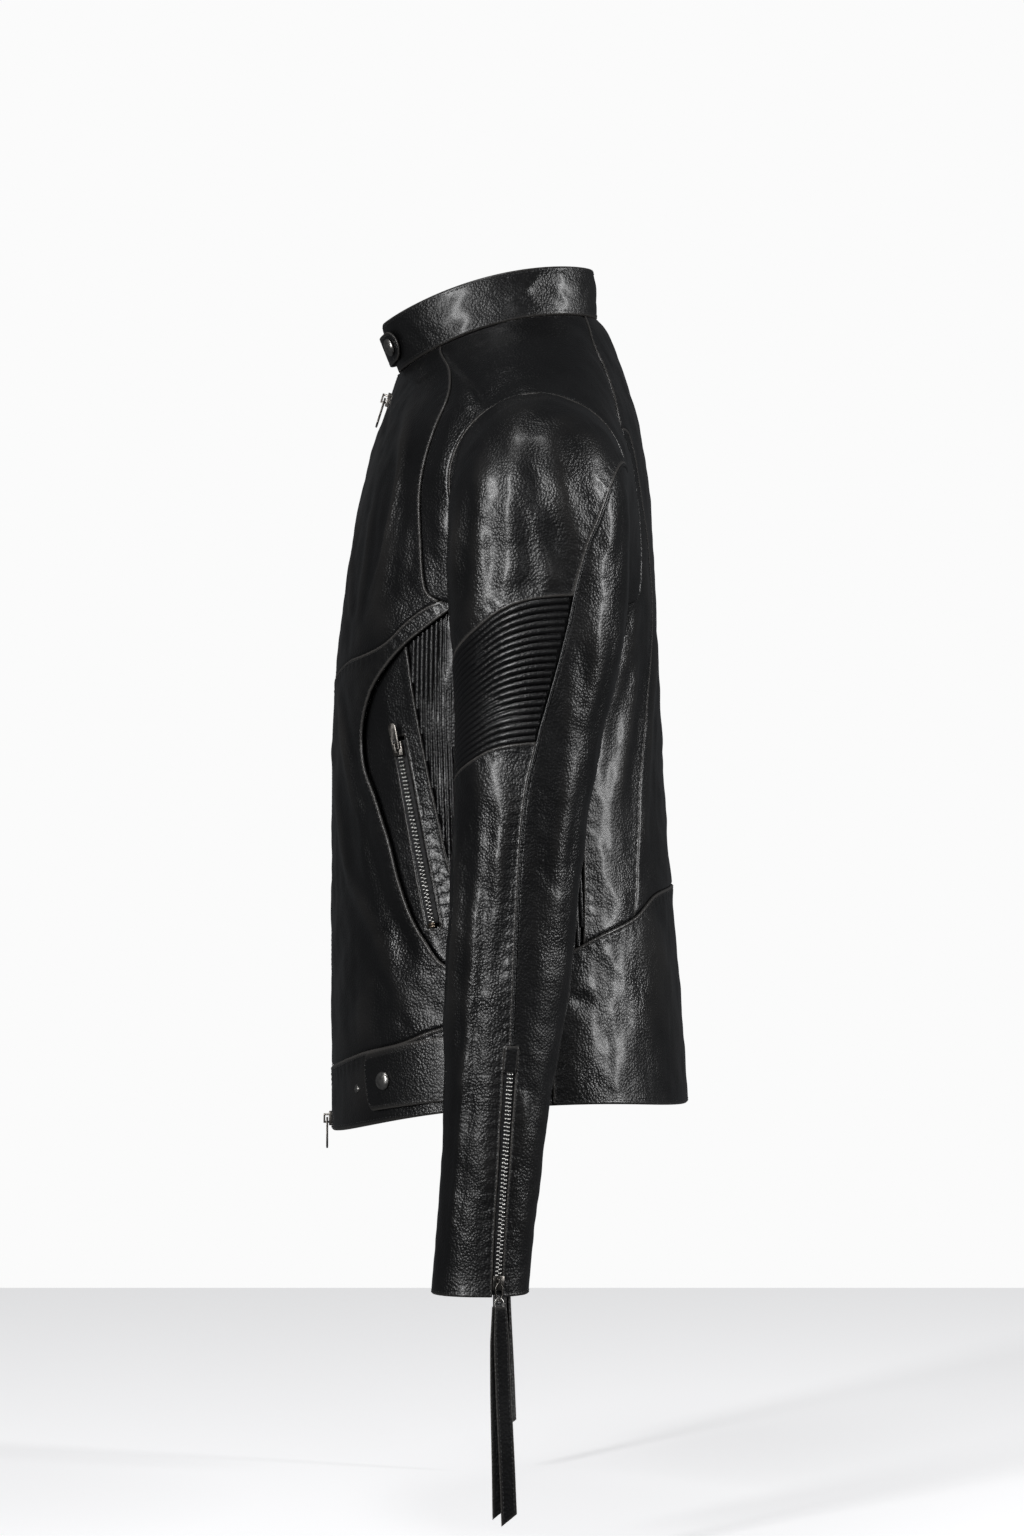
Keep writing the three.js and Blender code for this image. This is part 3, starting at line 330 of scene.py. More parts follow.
BACK = [[142, 3.25], [152, 3.3], [157, 4.16], [161, 4.84], [161, 5.46], [151, 6.34], [142.8, 7.19],
        [134.6, 8.25]]
HEM = [[0.2, 9.48], [23.5, 9.41], [41.5, 9.34], [58, 9.28], [72.8, 9.16], [100.4, 9]]
SIDE = [[100, 8.52], [100, 10]]
BACK_SLEEVE = [[98, -104], [98, -85], [118, -55], [138, -25], [152.6, 0], [161.5, 51], [169, 100], [174, 135],
               [178.5, 175], [176.6, 248], [174, 308], [170, 362]]
INNER_SLEEVE = [[308, -104], [318, -50], [334, 0], [339, 108], [344, 218], [353, 378], [364, 552]]
ELBOW_TOP = [[151, 22], [173, 23.6], [189, 26.6], [206, 34], [226.5, 48.4], [249.4, 61.6], [270, 72],
             [300, 80], [345, 84]]
ELBOW_LOW = [[168, 130], [194.4, 132.2], [211.8, 136], [231.5, 144.3], [256.4, 154], [270, 158], [300, 160],
             [347, 156]]
FRONT_EDGE = 6.5  # centre line to the leather's front edge
edge_levels = np.linspace(0, 10, 60)
front_edge = body.flat(np.stack([angle_at_x(FRONT_EDGE, edge_levels), edge_levels], -1))
middle_back = body.flat([[180, level] for level in np.linspace(0, 10, 60)])
neck_edge = body.flat([[angle, 0] for angle in np.linspace(0, 180, 90)])
hem_edge = body.flat([[angle, 10] for angle in np.linspace(0, 180, 90)])
seam = {name: body.line(places) for name, places in {
    "raglan_front": RAGLAN_FRONT + RAGLAN_BASE[:1],
    "raglan_base": RAGLAN_FRONT[-1:] + RAGLAN_BASE + RAGLAN_BACK[:1],
    "raglan_back": RAGLAN_BACK, "chest": CHEST, "pocket": POCKET_FRONT + POCKET_BACK, "rib_front": RIB_FRONT,
    "rib_back": RIB_BACK, "back": BACK, "hem": HEM, "side": SIDE}.items()}
print(len(seam), "body seams")

# %% [markdown]
# ## Cutting a panel
# A real panel is cut from a hide along its seam lines. Here the outline is the stretch of
# each seam between its crossings with the seams before and after it.

# %% Panel outlines
def crossing(first, second):
    """Where two lines on the pattern cross, as a place along each."""
    start, other = first[:-1, None], second[None, :-1]
    run, other_run = first[1:, None] - start, second[None, 1:] - other
    cross = lambda a, b: a[..., 0] * b[..., 1] - a[..., 1] * b[..., 0]
    turn = cross(run, other_run)
    turn = np.where(np.abs(turn) < 1e-9, np.nan, turn)
    t, u = cross(other - start, other_run) / turn, cross(other - start, run) / turn
    hits = np.argwhere((t >= 0) & (t <= 1) & (u >= 0) & (u <= 1))
    i, j = hits[0]
    return i + t[i, j], j + u[i, j]


def longer(line, extra=6):
    """A line carried on a little at both ends, so that it crosses its neighbours."""
    head, tail = unit(line[0] - line[1]), unit(line[-1] - line[-2])
    return np.vstack([line[0] + head * extra, line, line[-1] + tail * extra])


def stretch(line, a, b):
    """The part of a line between two places along it, in either direction."""
    steps = np.arange(len(line))
    low, high = min(a, b), max(a, b)
    ends = [[np.interp(p, steps, line[:, k]) for k in (0, 1)] for p in (low, high)]
    run = np.vstack([ends[:1], line[(steps > low) & (steps < high)], ends[1:]])
    return run if a < b else run[::-1]


def cut(*lines):
    """The sides of the panel that the lines enclose, in order."""
    lines = [longer(line) for line in lines]
    meets = [crossing(lines[k - 1], lines[k]) for k in range(len(lines))]
    return [stretch(line, meets[k][1], meets[(k + 1) % len(lines)][0]) for k, line in enumerate(lines)]


OUTLINE_STEP = 2.2  # mm between the points along a panel's edge


def even(line, step):
    """The same line in even steps."""
    run = np.concatenate([[0], np.cumsum(np.linalg.norm(np.diff(line, axis=0), axis=1))])
    goals = np.linspace(0, run[-1], max(2, int(round(run[-1] / step)) + 1))
    return np.stack([np.interp(goals, run, line[:, k]) for k in range(line.shape[1])], -1)


def outline_of(sides):
    """One closed outline, in even steps, from the sides of a panel."""
    return np.vstack([even(side, OUTLINE_STEP)[:-1] for side in sides])


print("chest meets the pocket seam at", np.round(crossing(seam["pocket"], seam["rib_front"]), 1))

# %% [markdown]
# ## Filling a panel with triangles
# A plain grid would leave stair steps along a curved seam. A Delaunay triangulation takes
# any outline: rows of points follow the edge closely, where the leather rolls into its
# seam, and an even field of points fills the rest.

# %% Fill an outline
EDGE_ROWS = [0.5, 1.1, 1.9, 3.0, 4.4, 6.2]


def near_line(points, line):
    """Distance of each point from a line on the pattern, and how far along it that is, from 0 to 1."""
    start, run = line[:-1], np.diff(line, axis=0)
    length = np.maximum(np.linalg.norm(run, axis=1), 1e-9)
    ends = np.concatenate([[0], np.cumsum(length)]) / length.sum()
    away, share = np.empty(len(points)), np.empty(len(points))
    for first in range(0, len(points), 2000):
        part = slice(first, first + 2000)
        gap = points[part, None] - start
        t = np.clip((gap * run).sum(-1) / length**2, 0, 1)
        apart = ((gap - t[..., None] * run) ** 2).sum(-1)
        best, row = apart.argmin(1), np.arange(apart.shape[0])
        away[part] = np.sqrt(apart[row, best])
        share[part] = ends[best] + t[row, best] * (ends[best + 1] - ends[best])
    return away, share


def inside(points, loop):
    after = np.roll(loop, -1, axis=0)
    x, y = points[:, :1], points[:, 1:]
    straddles = (loop[:, 1] > y) != (after[:, 1] > y)
    rise = np.where(after[:, 1] == loop[:, 1], 1e-12, after[:, 1] - loop[:, 1])
    at = loop[:, 0] + (y - loop[:, 1]) * (after[:, 0] - loop[:, 0]) / rise
    return (straddles & (x < at)).sum(1) % 2 == 1


def fill(sides, spacing, holes=()):
    """Points and triangles of a flat panel; sides and holes are lists of lines."""
    loops = [outline_of(part) for part in (sides, *holes)]
    closed = [np.vstack([loop, loop[:1]]) for loop in loops]

    def keep(points):
        in_hole = np.any([inside(points, hole) for hole in loops[1:]] or [[False]], axis=0)
        return inside(points, loops[0]) & ~in_hole

    def near(points):
        return np.min([near_line(points, loop)[0] for loop in closed], axis=0)

    rows = []
    for loop in loops:
        along = unit(np.roll(loop, -1, axis=0) - np.roll(loop, 1, axis=0))
        aside = np.stack([-along[:, 1], along[:, 0]], -1)
        for depth in EDGE_ROWS:
            for sign in (1, -1):
                row = loop + sign * depth * aside
                row = row[keep(row)]
                rows.append(row[near(row) > 0.93 * depth])
    low, high = loops[0].min(0), loops[0].max(0)
    x, y = np.meshgrid(np.arange(low[0], high[0], spacing), np.arange(low[1], high[1], spacing * 0.866))
    x = x + (np.arange(len(x)) % 2)[:, None] * spacing / 2
    field = np.stack([x.ravel(), y.ravel()], -1)
    field = field[keep(field)]
    rows.append(field[near(field) > EDGE_ROWS[-1] + 0.45 * spacing])
    points = np.vstack(loops + rows)
    edges, base = [], 0
    for loop in loops:
        edges += [(base + i, base + (i + 1) % len(loop)) for i in range(len(loop))]
        base += len(loop)
    found = delaunay_2d_cdt([Vector(p) for p in points], edges, [], 0, 1e-5)
    points = np.array([list(p) for p in found[0]])
    triangles = np.array(found[2])
    return points, triangles[keep(points[triangles].mean(1))]


square = np.array([[0, 0], [30, 0], [30, 30], [0, 30], [0, 0]], float)
print("a 30 mm square:", len(fill([square], 2.6)[1]), "triangles")

# %% [markdown]
# ## Making meshes
# Every piece ends as one closed mesh in metres. Cloth and leather are made as an outer
# surface that is given its thickness inwards, which also makes the cut edge.

# %% Mesh helpers
def make_object(name, points, faces, values=None):
    """A smooth shaded object from points in millimetres; values is a dict of one number a point."""
    mesh = bpy.data.meshes.new(name)
    mesh.from_pydata((np.asarray(points, float) * MM).tolist(), [], [list(map(int, f)) for f in faces])
    mesh.polygons.foreach_set("use_smooth", np.ones(len(mesh.polygons), bool))
    for key, numbers in (values or {}).items():
        mesh.attributes.new(key, "FLOAT", "POINT").data.foreach_set("value", np.asarray(numbers, np.float32))
    return new_object(name, mesh)


def thicken(points, normals, faces, depth):
    """The surface, a copy of it `depth` further in, and the rim that joins them."""
    faces = np.asarray(faces)
    sides = np.concatenate([np.stack([faces[:, k], faces[:, (k + 1) % faces.shape[1]]], -1)
                            for k in range(faces.shape[1])])
    keys = np.sort(sides, axis=1)
    _, first, uses = np.unique(keys, axis=0, return_index=True, return_counts=True)
    rim, count = sides[first[uses == 1]], len(points)
    walls = np.stack([rim[:, 1], rim[:, 0], rim[:, 0] + count, rim[:, 1] + count], -1)
    depth = np.broadcast_to(np.asarray(depth, float), (count,))[:, None]
    return np.vstack([points, points - normals * depth]), [*faces, *(faces[:, ::-1] + count), *walls]


def faces_out(points, normals, triangles):
    """Turns each triangle so that it faces the way the surface does."""
    a, b, c = (points[triangles[:, k]] for k in range(3))
    wrong = (np.cross(b - a, c - a) * normals[triangles[:, 0]]).sum(1) < 0
    return np.where(wrong[:, None], triangles[:, ::-1], triangles)


def grid_faces(rows, columns, closed=False):
    r, c = np.meshgrid(np.arange(rows - 1), np.arange(columns if closed else columns - 1), indexing="ij")
    here, after = r * columns + c, r * columns + (c + 1) % columns
    return np.stack([here, after, after + columns, here + columns], -1).reshape(-1, 4)


def tidy_mesh(made, near=0.02):
    """Merges points that coincide and turns every face outwards."""
    shape = bmesh.new()
    shape.from_mesh(made.data)
    bmesh.ops.remove_doubles(shape, verts=shape.verts, dist=near * MM)
    bmesh.ops.dissolve_degenerate(shape, edges=shape.edges, dist=0.001 * MM)
    bmesh.ops.recalc_face_normals(shape, faces=shape.faces)
    shape.to_mesh(made.data)
    shape.free()
    return made


def flipped(points, side):
    """Points of the left half, or their mirror image on the right."""
    return points * [side, 1, 1]


def body_name(node_name):
    return body_of(frame["nodes"][node_name])[0]


print("a grid of 3 by 4 points has", len(grid_faces(3, 4)), "faces")

# %% [markdown]
# ## Finishes
# A finish is a handful of nodes on the Principled shader. One function adds a node, one
# turns a colour code into the linear values that Blender wants.

# %% Node helpers
def colour(code):
    parts = [int(code[i:i + 2], 16) / 255 for i in (1, 3, 5)]
    return [*(p / 12.92 if p <= 0.04045 else ((p + 0.055) / 1.055) ** 2.4 for p in parts), 1]


def plug_in(tree, node, sockets):
    """Sets the inputs of a node, each to a value or to a link."""
    for name, value in sockets.items():
        if isinstance(value, bpy.types.NodeSocket):
            tree.links.new(value, node.inputs[name])
        else:
            node.inputs[name].default_value = value


def add(tree, kind, sockets=None, **settings):
    """Adds a node. Settings are its own properties; sockets are its inputs, as values or links."""
    made = tree.nodes.new(kind)
    for name, value in settings.items():
        setattr(made, name, value)
    plug_in(tree, made, sockets or {})
    return made


def per_metre(millimetres):
    return 1000 / millimetres


def new_material(name, code):
    made = bpy.data.materials.new(name)
    made.use_nodes = True
    made.diffuse_color = colour(code)
    made.node_tree.nodes.clear()
    tree = made.node_tree
    shader = add(tree, "ShaderNodeBsdfPrincipled")
    add(tree, "ShaderNodeOutputMaterial", {"Surface": shader.outputs[0]})
    place = add(tree, "ShaderNodeTexCoord").outputs["Object"]
    return made, tree, shader, place


def blend_colours(tree, share, first, second):
    ends = (colour(end) if isinstance(end, str) else end for end in (first, second))
    return add(tree, "ShaderNodeMix", dict(zip((0, 6, 7), (share, *ends))), data_type="RGBA").outputs[2]


def spread(tree, value, low, high, to_low=0.0, to_high=1.0):
    return add(tree, "ShaderNodeMapRange", {0: value, 1: low, 2: high, 3: to_low, 4: to_high}).outputs[0]


def roughen(tree, height, depth, before=None, strength=1.0):
    """A bump of `depth` millimetres, laid over the bump before it."""
    made = add(tree, "ShaderNodeBump", {"Height": height, "Distance": depth * MM, "Strength": strength})
    if before:
        tree.links.new(before, made.inputs["Normal"])
    return made.outputs[0]


print("#808080 is", round(colour("#808080")[0], 3), "in linear light")

# %% [markdown]
# ## Black leather
# Cowhide, drum dyed black and finished with a thin wax coat: nearly black, softly glossy,
# with a pebbled grain, a net of fine creases where it flexes, and a light grey along raised
# edges and seams that is partly rub wear and partly a painted highlight. Voronoi cells make
# the pebbles and a folded noise the creases.

# %% Leather
GRAIN = 1.9  # real pebbles are about 1 mm; drawn coarser, so that they show


def leather(name, dark, light, worn_and_highlight, rough, grain=GRAIN, crease=1.0):
    made, tree, shader, place = new_material(name, light)
    wander = add(tree, "ShaderNodeTexNoise", {"Vector": place, "Scale": per_metre(5), "Detail": 2.0})
    pushed = add(tree, "ShaderNodeVectorMath", {0: wander.outputs["Color"], 1: [0.0008] * 3},
                 operation="MULTIPLY")
    moved = add(tree, "ShaderNodeVectorMath", {0: place, 1: pushed.outputs[0]}, operation="ADD").outputs[0]
    pebbles = add(tree, "ShaderNodeTexVoronoi", {"Vector": moved, "Scale": per_metre(grain)}, feature="F1")
    folds = add(tree, "ShaderNodeTexNoise", {"Vector": moved, "Scale": per_metre(34), "Detail": 2.0,
                                             "Distortion": 0.7})
    offset = add(tree, "ShaderNodeMath", {0: folds.outputs[0], 1: 0.5}, operation="SUBTRACT")
    line = add(tree, "ShaderNodeMath", {0: offset.outputs[0]}, operation="ABSOLUTE")
    creases = spread(tree, line.outputs[0], 0.0, 0.09)
    clouds = add(tree, "ShaderNodeTexNoise", {"Vector": place, "Scale": per_metre(70), "Detail": 4.0})
    dents = add(tree, "ShaderNodeTexNoise", {"Vector": place, "Scale": per_metre(24), "Detail": 2.0})
    # where this attribute is high the leather turns grey: partly rub wear, partly a painted highlight along
    # seams and edges
    wear_and_highlight = add(tree, "ShaderNodeAttribute", attribute_name="wear_and_highlight").outputs["Fac"]
    base = blend_colours(tree, spread(tree, clouds.outputs[0], 0.3, 0.7), dark, light)
    normal = roughen(tree, dents.outputs[0], 0.8 * crease)
    normal = roughen(tree, creases, 0.1 * crease, normal)
    normal = roughen(tree, spread(tree, pebbles.outputs["Distance"], 0.0, 0.8, 1.0, 0.0), 0.3, normal)
    plug_in(tree, shader, {
        "Base Color": blend_colours(tree, wear_and_highlight, base, worn_and_highlight), "Normal": normal,
        "Roughness": spread(tree, clouds.outputs[0], 0.3, 0.7, rough, rough + 0.12),
        "IOR": 1.5, "Coat Weight": 0.3, "Coat Roughness": 0.2})
    return made


# the third colour is the grey of rub wear and of a painted highlight along seams and edges
SHELL = leather("black_waxed_cowhide", "#070708", "#101011", "#5e5b58", 0.29)
TRIM = leather("black_cowhide_trim", "#070708", "#101011", "#5e5b58", 0.32, crease=0.6)
RIBBED = leather("black_stretch_pleat_leather", "#060607", "#0e0e0f", "#3a3836", 0.33, crease=0.5)
print("leather grain", GRAIN, "mm")

# %% [markdown]
# ## Cloth, thread and metal
# The lining is a polyester twill, the zip tapes a tight herringbone, and the metal parts
# are nickel plated brass, some of it darkened. A wave texture across the object makes
# threads; soft noise breaks up a plated finish so that it doesn't look like a mirror.

# %% Cloth, thread and metal
def cloth(name, dark, light, thread, rough, sheen):
    made, tree, shader, place = new_material(name, light)
    turned = add(tree, "ShaderNodeMapping", {"Vector": place, "Rotation": (0.6, 0.5, 0.9)}).outputs[0]
    waves = add(tree, "ShaderNodeTexWave",
                {"Vector": turned, "Scale": per_metre(thread) / 20, "Distortion": 0.4},
                wave_profile="SIN")
    soft = add(tree, "ShaderNodeTexNoise", {"Vector": place, "Scale": per_metre(9), "Detail": 3.0})
    threads = add(tree, "ShaderNodeMath", {0: waves.outputs[1], 1: soft.outputs[0]}, operation="MULTIPLY")
    plug_in(tree, shader, {
        "Base Color": blend_colours(tree, threads.outputs[0], dark, light), "Sheen Weight": sheen,
        "Roughness": spread(tree, soft.outputs[0], 0.3, 0.7, rough - 0.05, rough + 0.08),
        "Normal": roughen(tree, waves.outputs[1], 0.12, roughen(tree, soft.outputs[0], 0.5))})
    return made


def plated(name, dark, light, rough, brushed=0.03):
    made, tree, shader, place = new_material(name, light)
    cloud = add(tree, "ShaderNodeTexNoise", {"Vector": place, "Scale": per_metre(3), "Detail": 4.0})
    specks = add(tree, "ShaderNodeTexNoise", {"Vector": place, "Scale": per_metre(0.5), "Detail": 2.0})
    plug_in(tree, shader, {
        "Base Color": blend_colours(tree, spread(tree, cloud.outputs[0], 0.3, 0.7), dark, light),
        "Roughness": spread(tree, cloud.outputs[0], 0.3, 0.7, rough, rough + 0.1),
        "Normal": roughen(tree, specks.outputs[0], brushed), "Metallic": 1.0})
    return made


TWILL = cloth("black_polyester_twill", "#0c0c0d", "#232326", 0.9, 0.55, 0.25)
TAPE = cloth("black_woven_zip_tape", "#0d0d0e", "#26262a", 0.8, 0.7, 0.2)
THREAD = cloth("black_bonded_nylon_thread", "#141415", "#2e2e31", 0.5, 0.42, 0.1)
NICKEL = plated("satin_nickel_plate", "#9d9b98", "#c6c4c0", 0.26)
TEETH = plated("polished_nickel_teeth", "#c4c2bf", "#ecebe8", 0.34)
GUNMETAL = plated("gunmetal_plate", "#5b5855", "#86827d", 0.26)
BRONZE = plated("antique_brass_plate", "#6d6255", "#97897a", 0.3)


def dress(made, material, slot, *nodes):
    """Gives a piece its finish and lets it ride where its CAD nodes ride; slot is not used."""
    made.data.materials.clear()
    made.data.materials.append(material)
    if nodes:
        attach(made, body_name(nodes[0]))
        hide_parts(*nodes)
    return made


print(len(bpy.data.materials), "finishes")

# %% [markdown]
# ## Folds
# Worn leather keeps soft dents and a few sharp folds that start at its seams: at the
# armpit, under the chest, over the pocket and all down the sleeve. Each fold here is a
# curve with a height and a width. Its section is a ridge between two hollows, and it
# fades at both ends. A sum of long waves, which differs between left and right, adds the
# unevenness that no drawn fold has.

# %% Folds and waves
BODY_FOLDS = [  # height and width in mm, then the places that the fold passes
    (2.2, 8, [[65, 3.61], [66, 4.14], [68, 4.6], [68.8, 5.13]]),
    (2.4, 9, [[5, 6.64], [19, 7.2], [29.5, 7.8], [40.2, 8.09], [49.8, 8.44], [60.3, 8.92], [67.5, 9.14]]),
    (-1.8, 7, [[26.8, 6.25], [34, 6.83], [40.5, 7.19], [45, 7.62], [52.2, 8.04], [62.5, 8.48], [73, 8.83]]),
    (2.0, 8, [[16.8, 6.14], [28, 6.64], [33.8, 7.19], [47.8, 7.49]]),
    (-2.2, 7, [[106.8, 8.92], [115.2, 8.92]]),
    (2.4, 9, [[147.2, 5.47], [139.8, 6.25], [133.2, 6.83], [126.8, 7.36]]),
    (2.2, 10, [[170.5, 5.25], [156.5, 6.24], [146.2, 7.19], [139, 7.87]]),
    (1.8, 8, [[148.3, 5.17], [143.2, 5.47], [136, 5.9], [129.5, 6.25]]),
    (2.0, 8, [[42, 1.9], [49, 3.71], [48.2, 4.75], [43.8, 5.42]]),
    (1.8, 7, [[31.8, 3.32], [33.5, 4.42], [33.5, 5.19], [29.8, 5.63]]),
    (1.2, 3.5, [[46.2, 2.85], [49, 3.71], [47.8, 4.38], [44.5, 4.86], [40.2, 5.25]]),
    (-1.2, 6, [[12, 1.2], [22, 2.2], [30, 3.0]]),
    (1.4, 7, [[14, 4.0], [20, 4.9], [30, 5.6]]),
]
SLEEVE_FOLDS = [
    (2.0, 9, [[217, -70], [221, 0], [224, 60]]),
    (2.0, 9, [[196, -70], [200, 0], [203, 60]]),
    (1.8, 8, [[178, -60], [160, -20], [140, 15]]),
    (1.2, 5, [[186, -35], [176, 2], [172, 24]]),
    (1.3, 6, [[214, 167], [213.5, 218], [214.5, 278], [216, 338], [218.5, 398], [221.5, 457], [224.5, 518]]),
    (1.8, 8, [[197, 152], [194.5, 218], [195.5, 293]]),
    (2.2, 9, [[166, 55], [149.5, 114], [142.5, 174], [140.5, 248]]),
    (1.8, 8, [[137.5, 25], [134, 99], [126.5, 174]]),
    (1.6, 7, [[126, -40], [131, -15], [138, 0]]),
    (1.6, 7, [[161.5, 390], [152, 402], [144.5, 416.5]]),
    (1.4, 7, [[245, 190], [240, 260], [246, 330]]),
    (1.6, 8, [[236, -60], [243, -10], [246, 30]]),
]
fold_lines = {
    "body": [(height, width, body.line(places, 6)) for height, width, places in BODY_FOLDS],
    "sleeve": [(height, width, sleeve.line(places, 6)) for height, width, places in SLEEVE_FOLDS]}


def folds_at(flat, name):
    total = np.zeros(len(flat))
    for height, width, line in fold_lines[name]:
        low, high = line.min(0) - 3 * width, line.max(0) + 3 * width
        close = np.flatnonzero(np.all((flat > low) & (flat < high), axis=1))
        if len(close):
            away, share = near_line(flat[close], line)
            fade = np.sin(np.pi * np.clip(share, 0.02, 0.98)) ** 0.7
            ridge = np.exp(-(away / width) ** 2) - 0.3 * np.exp(-((away - 1.7 * width) / (0.8 * width)) ** 2)
            total[close] += height * fade * ridge
    return total


def waves_at(points, seed, size, tall=1.0):
    """A sum of sine waves about `size` mm long, drawn out `tall` times along the height."""
    random = np.random.default_rng(seed)
    total = np.zeros(len(points))
    for _ in range(10):
        way = unit(random.normal(size=3)) * 2 * np.pi / (size * random.uniform(0.7, 1.5))
        total += np.sin(points @ (way * [1, 1, 1 / tall]) + random.uniform(0, 7))
    return total / 3


def unevenness(points):
    return (0.85 * waves_at(points, 3, 75, 1.8) + 0.45 * waves_at(points, 8, 30, 1.7)
            + 0.16 * waves_at(points, 5, 14, 1.5))


print(len(BODY_FOLDS) + len(SLEEVE_FOLDS), "folds")

# %% [markdown]
# ## Seams in relief
# In a lapped seam one panel is folded under and stitched on top of its neighbour, so its
# edge stands up in a rounded welt, with a row of stitches pulled down beside it, and the
# panel beneath dips in to meet it. Three profiles over the distance from the edge say it.

# %% Seam profiles
STITCH_IN = 2.8  # from the folded edge to the row of stitches


def over(away):
    welt = 0.9 * np.exp(-(away / 4.2) ** 2) - 1.2 * np.exp(-(away / 0.6) ** 2)
    return welt - 0.45 * np.exp(-((away - STITCH_IN) / 0.9) ** 2)


def under(away):
    return -1.0 * np.exp(-(away / 1.3) ** 2)


def turned_edge(away):
    return 0.5 * np.exp(-(away / 4) ** 2) - 1.2 * np.exp(-(away / 0.6) ** 2) - 0.3 * np.exp(
        -((away - STITCH_IN) / 0.9) ** 2)


def welt_wear_and_highlight(away):
    """Rub wear and painted highlight along the raised welt of a lapped seam."""
    return 0.55 * np.exp(-((away - 1.1) / 1.0) ** 2)


def plain(away):
    return np.zeros(len(away))


PUCKER = 9.0  # mm between the small puckers that a seam's stitches draw up


def relief(flat, points, sides, profiles, pattern):
    """Height over the smooth surface and wear with painted highlight, 0 to 1, of each point of a panel."""
    height, wear_and_highlight = folds_at(flat, pattern.name) + unevenness(points), np.zeros(len(flat))
    for line, profile in zip(sides, profiles):
        away, share = near_line(flat, even(line, 4))
        length = np.linalg.norm(np.diff(line, axis=0), axis=1).sum()
        fade = 1 - 0.75 * np.exp(-(away / 9) ** 2) * (profile is not plain)
        height = height * fade + profile(away)
        if profile is over:
            draw = np.sin(share * length * 2 * np.pi / PUCKER + 3 * np.sin(share * length / 23))
            height += 0.28 * draw * np.exp(-((away - 6) / 4) ** 2)
            # the welt is painted lighter: rub wear and a painted highlight
            wear_and_highlight = np.maximum(wear_and_highlight, welt_wear_and_highlight(away))
        if profile is turned_edge:
            # the folded edge is painted lighter too: wear and a painted highlight
            wear_and_highlight = np.maximum(wear_and_highlight, 0.45 * np.exp(-(away / 1.2) ** 2))
    return height, wear_and_highlight


print("welt height at 1.5 mm from the edge", round(float(over(np.array([1.5]))[0]), 2), "mm")

# %% [markdown]
# ## The body's panels
# Every panel is cut on the flat pattern, filled, laid on the body with its relief and
# given the leather's thickness. The right half is the left one mirrored, with its own
# unevenness. The back's two wide panels cross the middle, so their halves are joined.

# %% Make a panel
LEATHER_THICKNESS = 1.4
stitch_rows = []  # (body names, points, outward directions)


def panel_shape(pattern, sides, profiles, side, filled, extra=None):
    flat, triangles = filled
    places = pattern.places(flat)
    points, normals = flipped(pattern.surface(*places), side), flipped(pattern.normal(*places), side)
    height, wear_and_highlight = relief(flat, points, sides, profiles, pattern)
    if extra is not None:
        height = height + extra(flat)
    triangles = faces_out(points, normals, triangles)
    # the wear and painted highlight grows lighter still where folds stand up
    return points + normals * height[:, None], normals, triangles, np.clip(wear_and_highlight + 0.05 * height, 0, 1)


def make_panel(node_name, pattern, sides, profiles, spacing=2.7, material=SHELL, slot="shell_leather",
               extra=None, holes=(), joined=False, blended=False, replaced=None):
    """Both of a pair of panels, or the one panel of two joined halves."""
    filled = fill(sides, spacing, holes)
    edges = list(sides) + [line for hole in holes for line in hole]
    profiles = list(profiles) + [over] * (len(edges) - len(profiles))
    made = []
    halves = {text: panel_shape(pattern, edges, profiles, side, filled, extra) for text,
              side in SIDES.items()}
    for text, side in SIDES.items():
        owner = body_name((replaced or [node_name])[0] + ("" if joined else f"_{text}"))
        owner = (f"sleeve_{text}", f"forearm_{text}") if blended else (owner,)
        for line, profile in zip(edges, profiles):
            if profile in (over, turned_edge):
                run = even(line, 2.0)
                along = unit(np.gradient(run, axis=0))
                left = np.stack([-along[:, 1], along[:, 0]], -1)
                test = run[len(run) // 2] + 1.5 * left[len(run) // 2]
                sign = 1 if inside(test[None], outline_of(sides))[0] else -1
                if any(line is part for hole in holes for part in hole):
                    sign = -1 if inside(test[None], outline_of(holes[0]))[0] else 1
                row = run[2:-2] + sign * STITCH_IN * left[2:-2]
                if len(row) > 4:
                    places = pattern.places(row)
                    out = flipped(pattern.normal(*places), side)
                    ground = flipped(pattern.surface(*places), side)
                    lift, _ = relief(row, ground, edges, profiles, pattern)
                    lift = lift + (extra(row) if extra is not None else 0)
                    stitch_rows.append((owner, ground + out * (lift + 0.12)[:, None], out))
    if joined:
        (p, n, t, w), (p2, n2, t2, w2) = halves["left"], halves["right"]
        halves = {"": (np.vstack([p, p2]), np.vstack([n, n2]), np.vstack([t, t2 + len(p)]),
                       np.concatenate([w, w2]))}
    for text, (points, normals, triangles, wear_and_highlight) in halves.items():
        if joined:  # the two halves meet on the middle line
            on_line = np.abs(points[:, 0]) < 0.02
            points[on_line, 0] = 0
        solid, faces = thicken(points, normals, triangles, LEATHER_THICKNESS)
        full = f"{node_name}_{text}" if text else node_name
        # the outer face carries the wear and painted highlight, the inner face none
        piece = make_object(f"{full}_leather", solid, faces, {"wear_and_highlight": np.concatenate([wear_and_highlight, wear_and_highlight * 0])})
        if joined:
            join_middle(piece)
        nodes = [f"{n}_{text}" if text else n for n in (replaced or [node_name])]
        if blended:
            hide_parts(*nodes)
            blended_piece(piece, text, material, slot)
        else:
            dress(piece, material, slot, *nodes)
        made.append(piece)
    print(node_name, sum(len(piece.data.polygons) for piece in made), "faces")
    return made


def blended_piece(made, text, material, slot):
    """A piece that crosses the elbow and bends between the two bodies."""
    dress(made, material, slot)
    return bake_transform(made, f"sleeve_{text}", f"forearm_{text}", *BEND_SPAN)


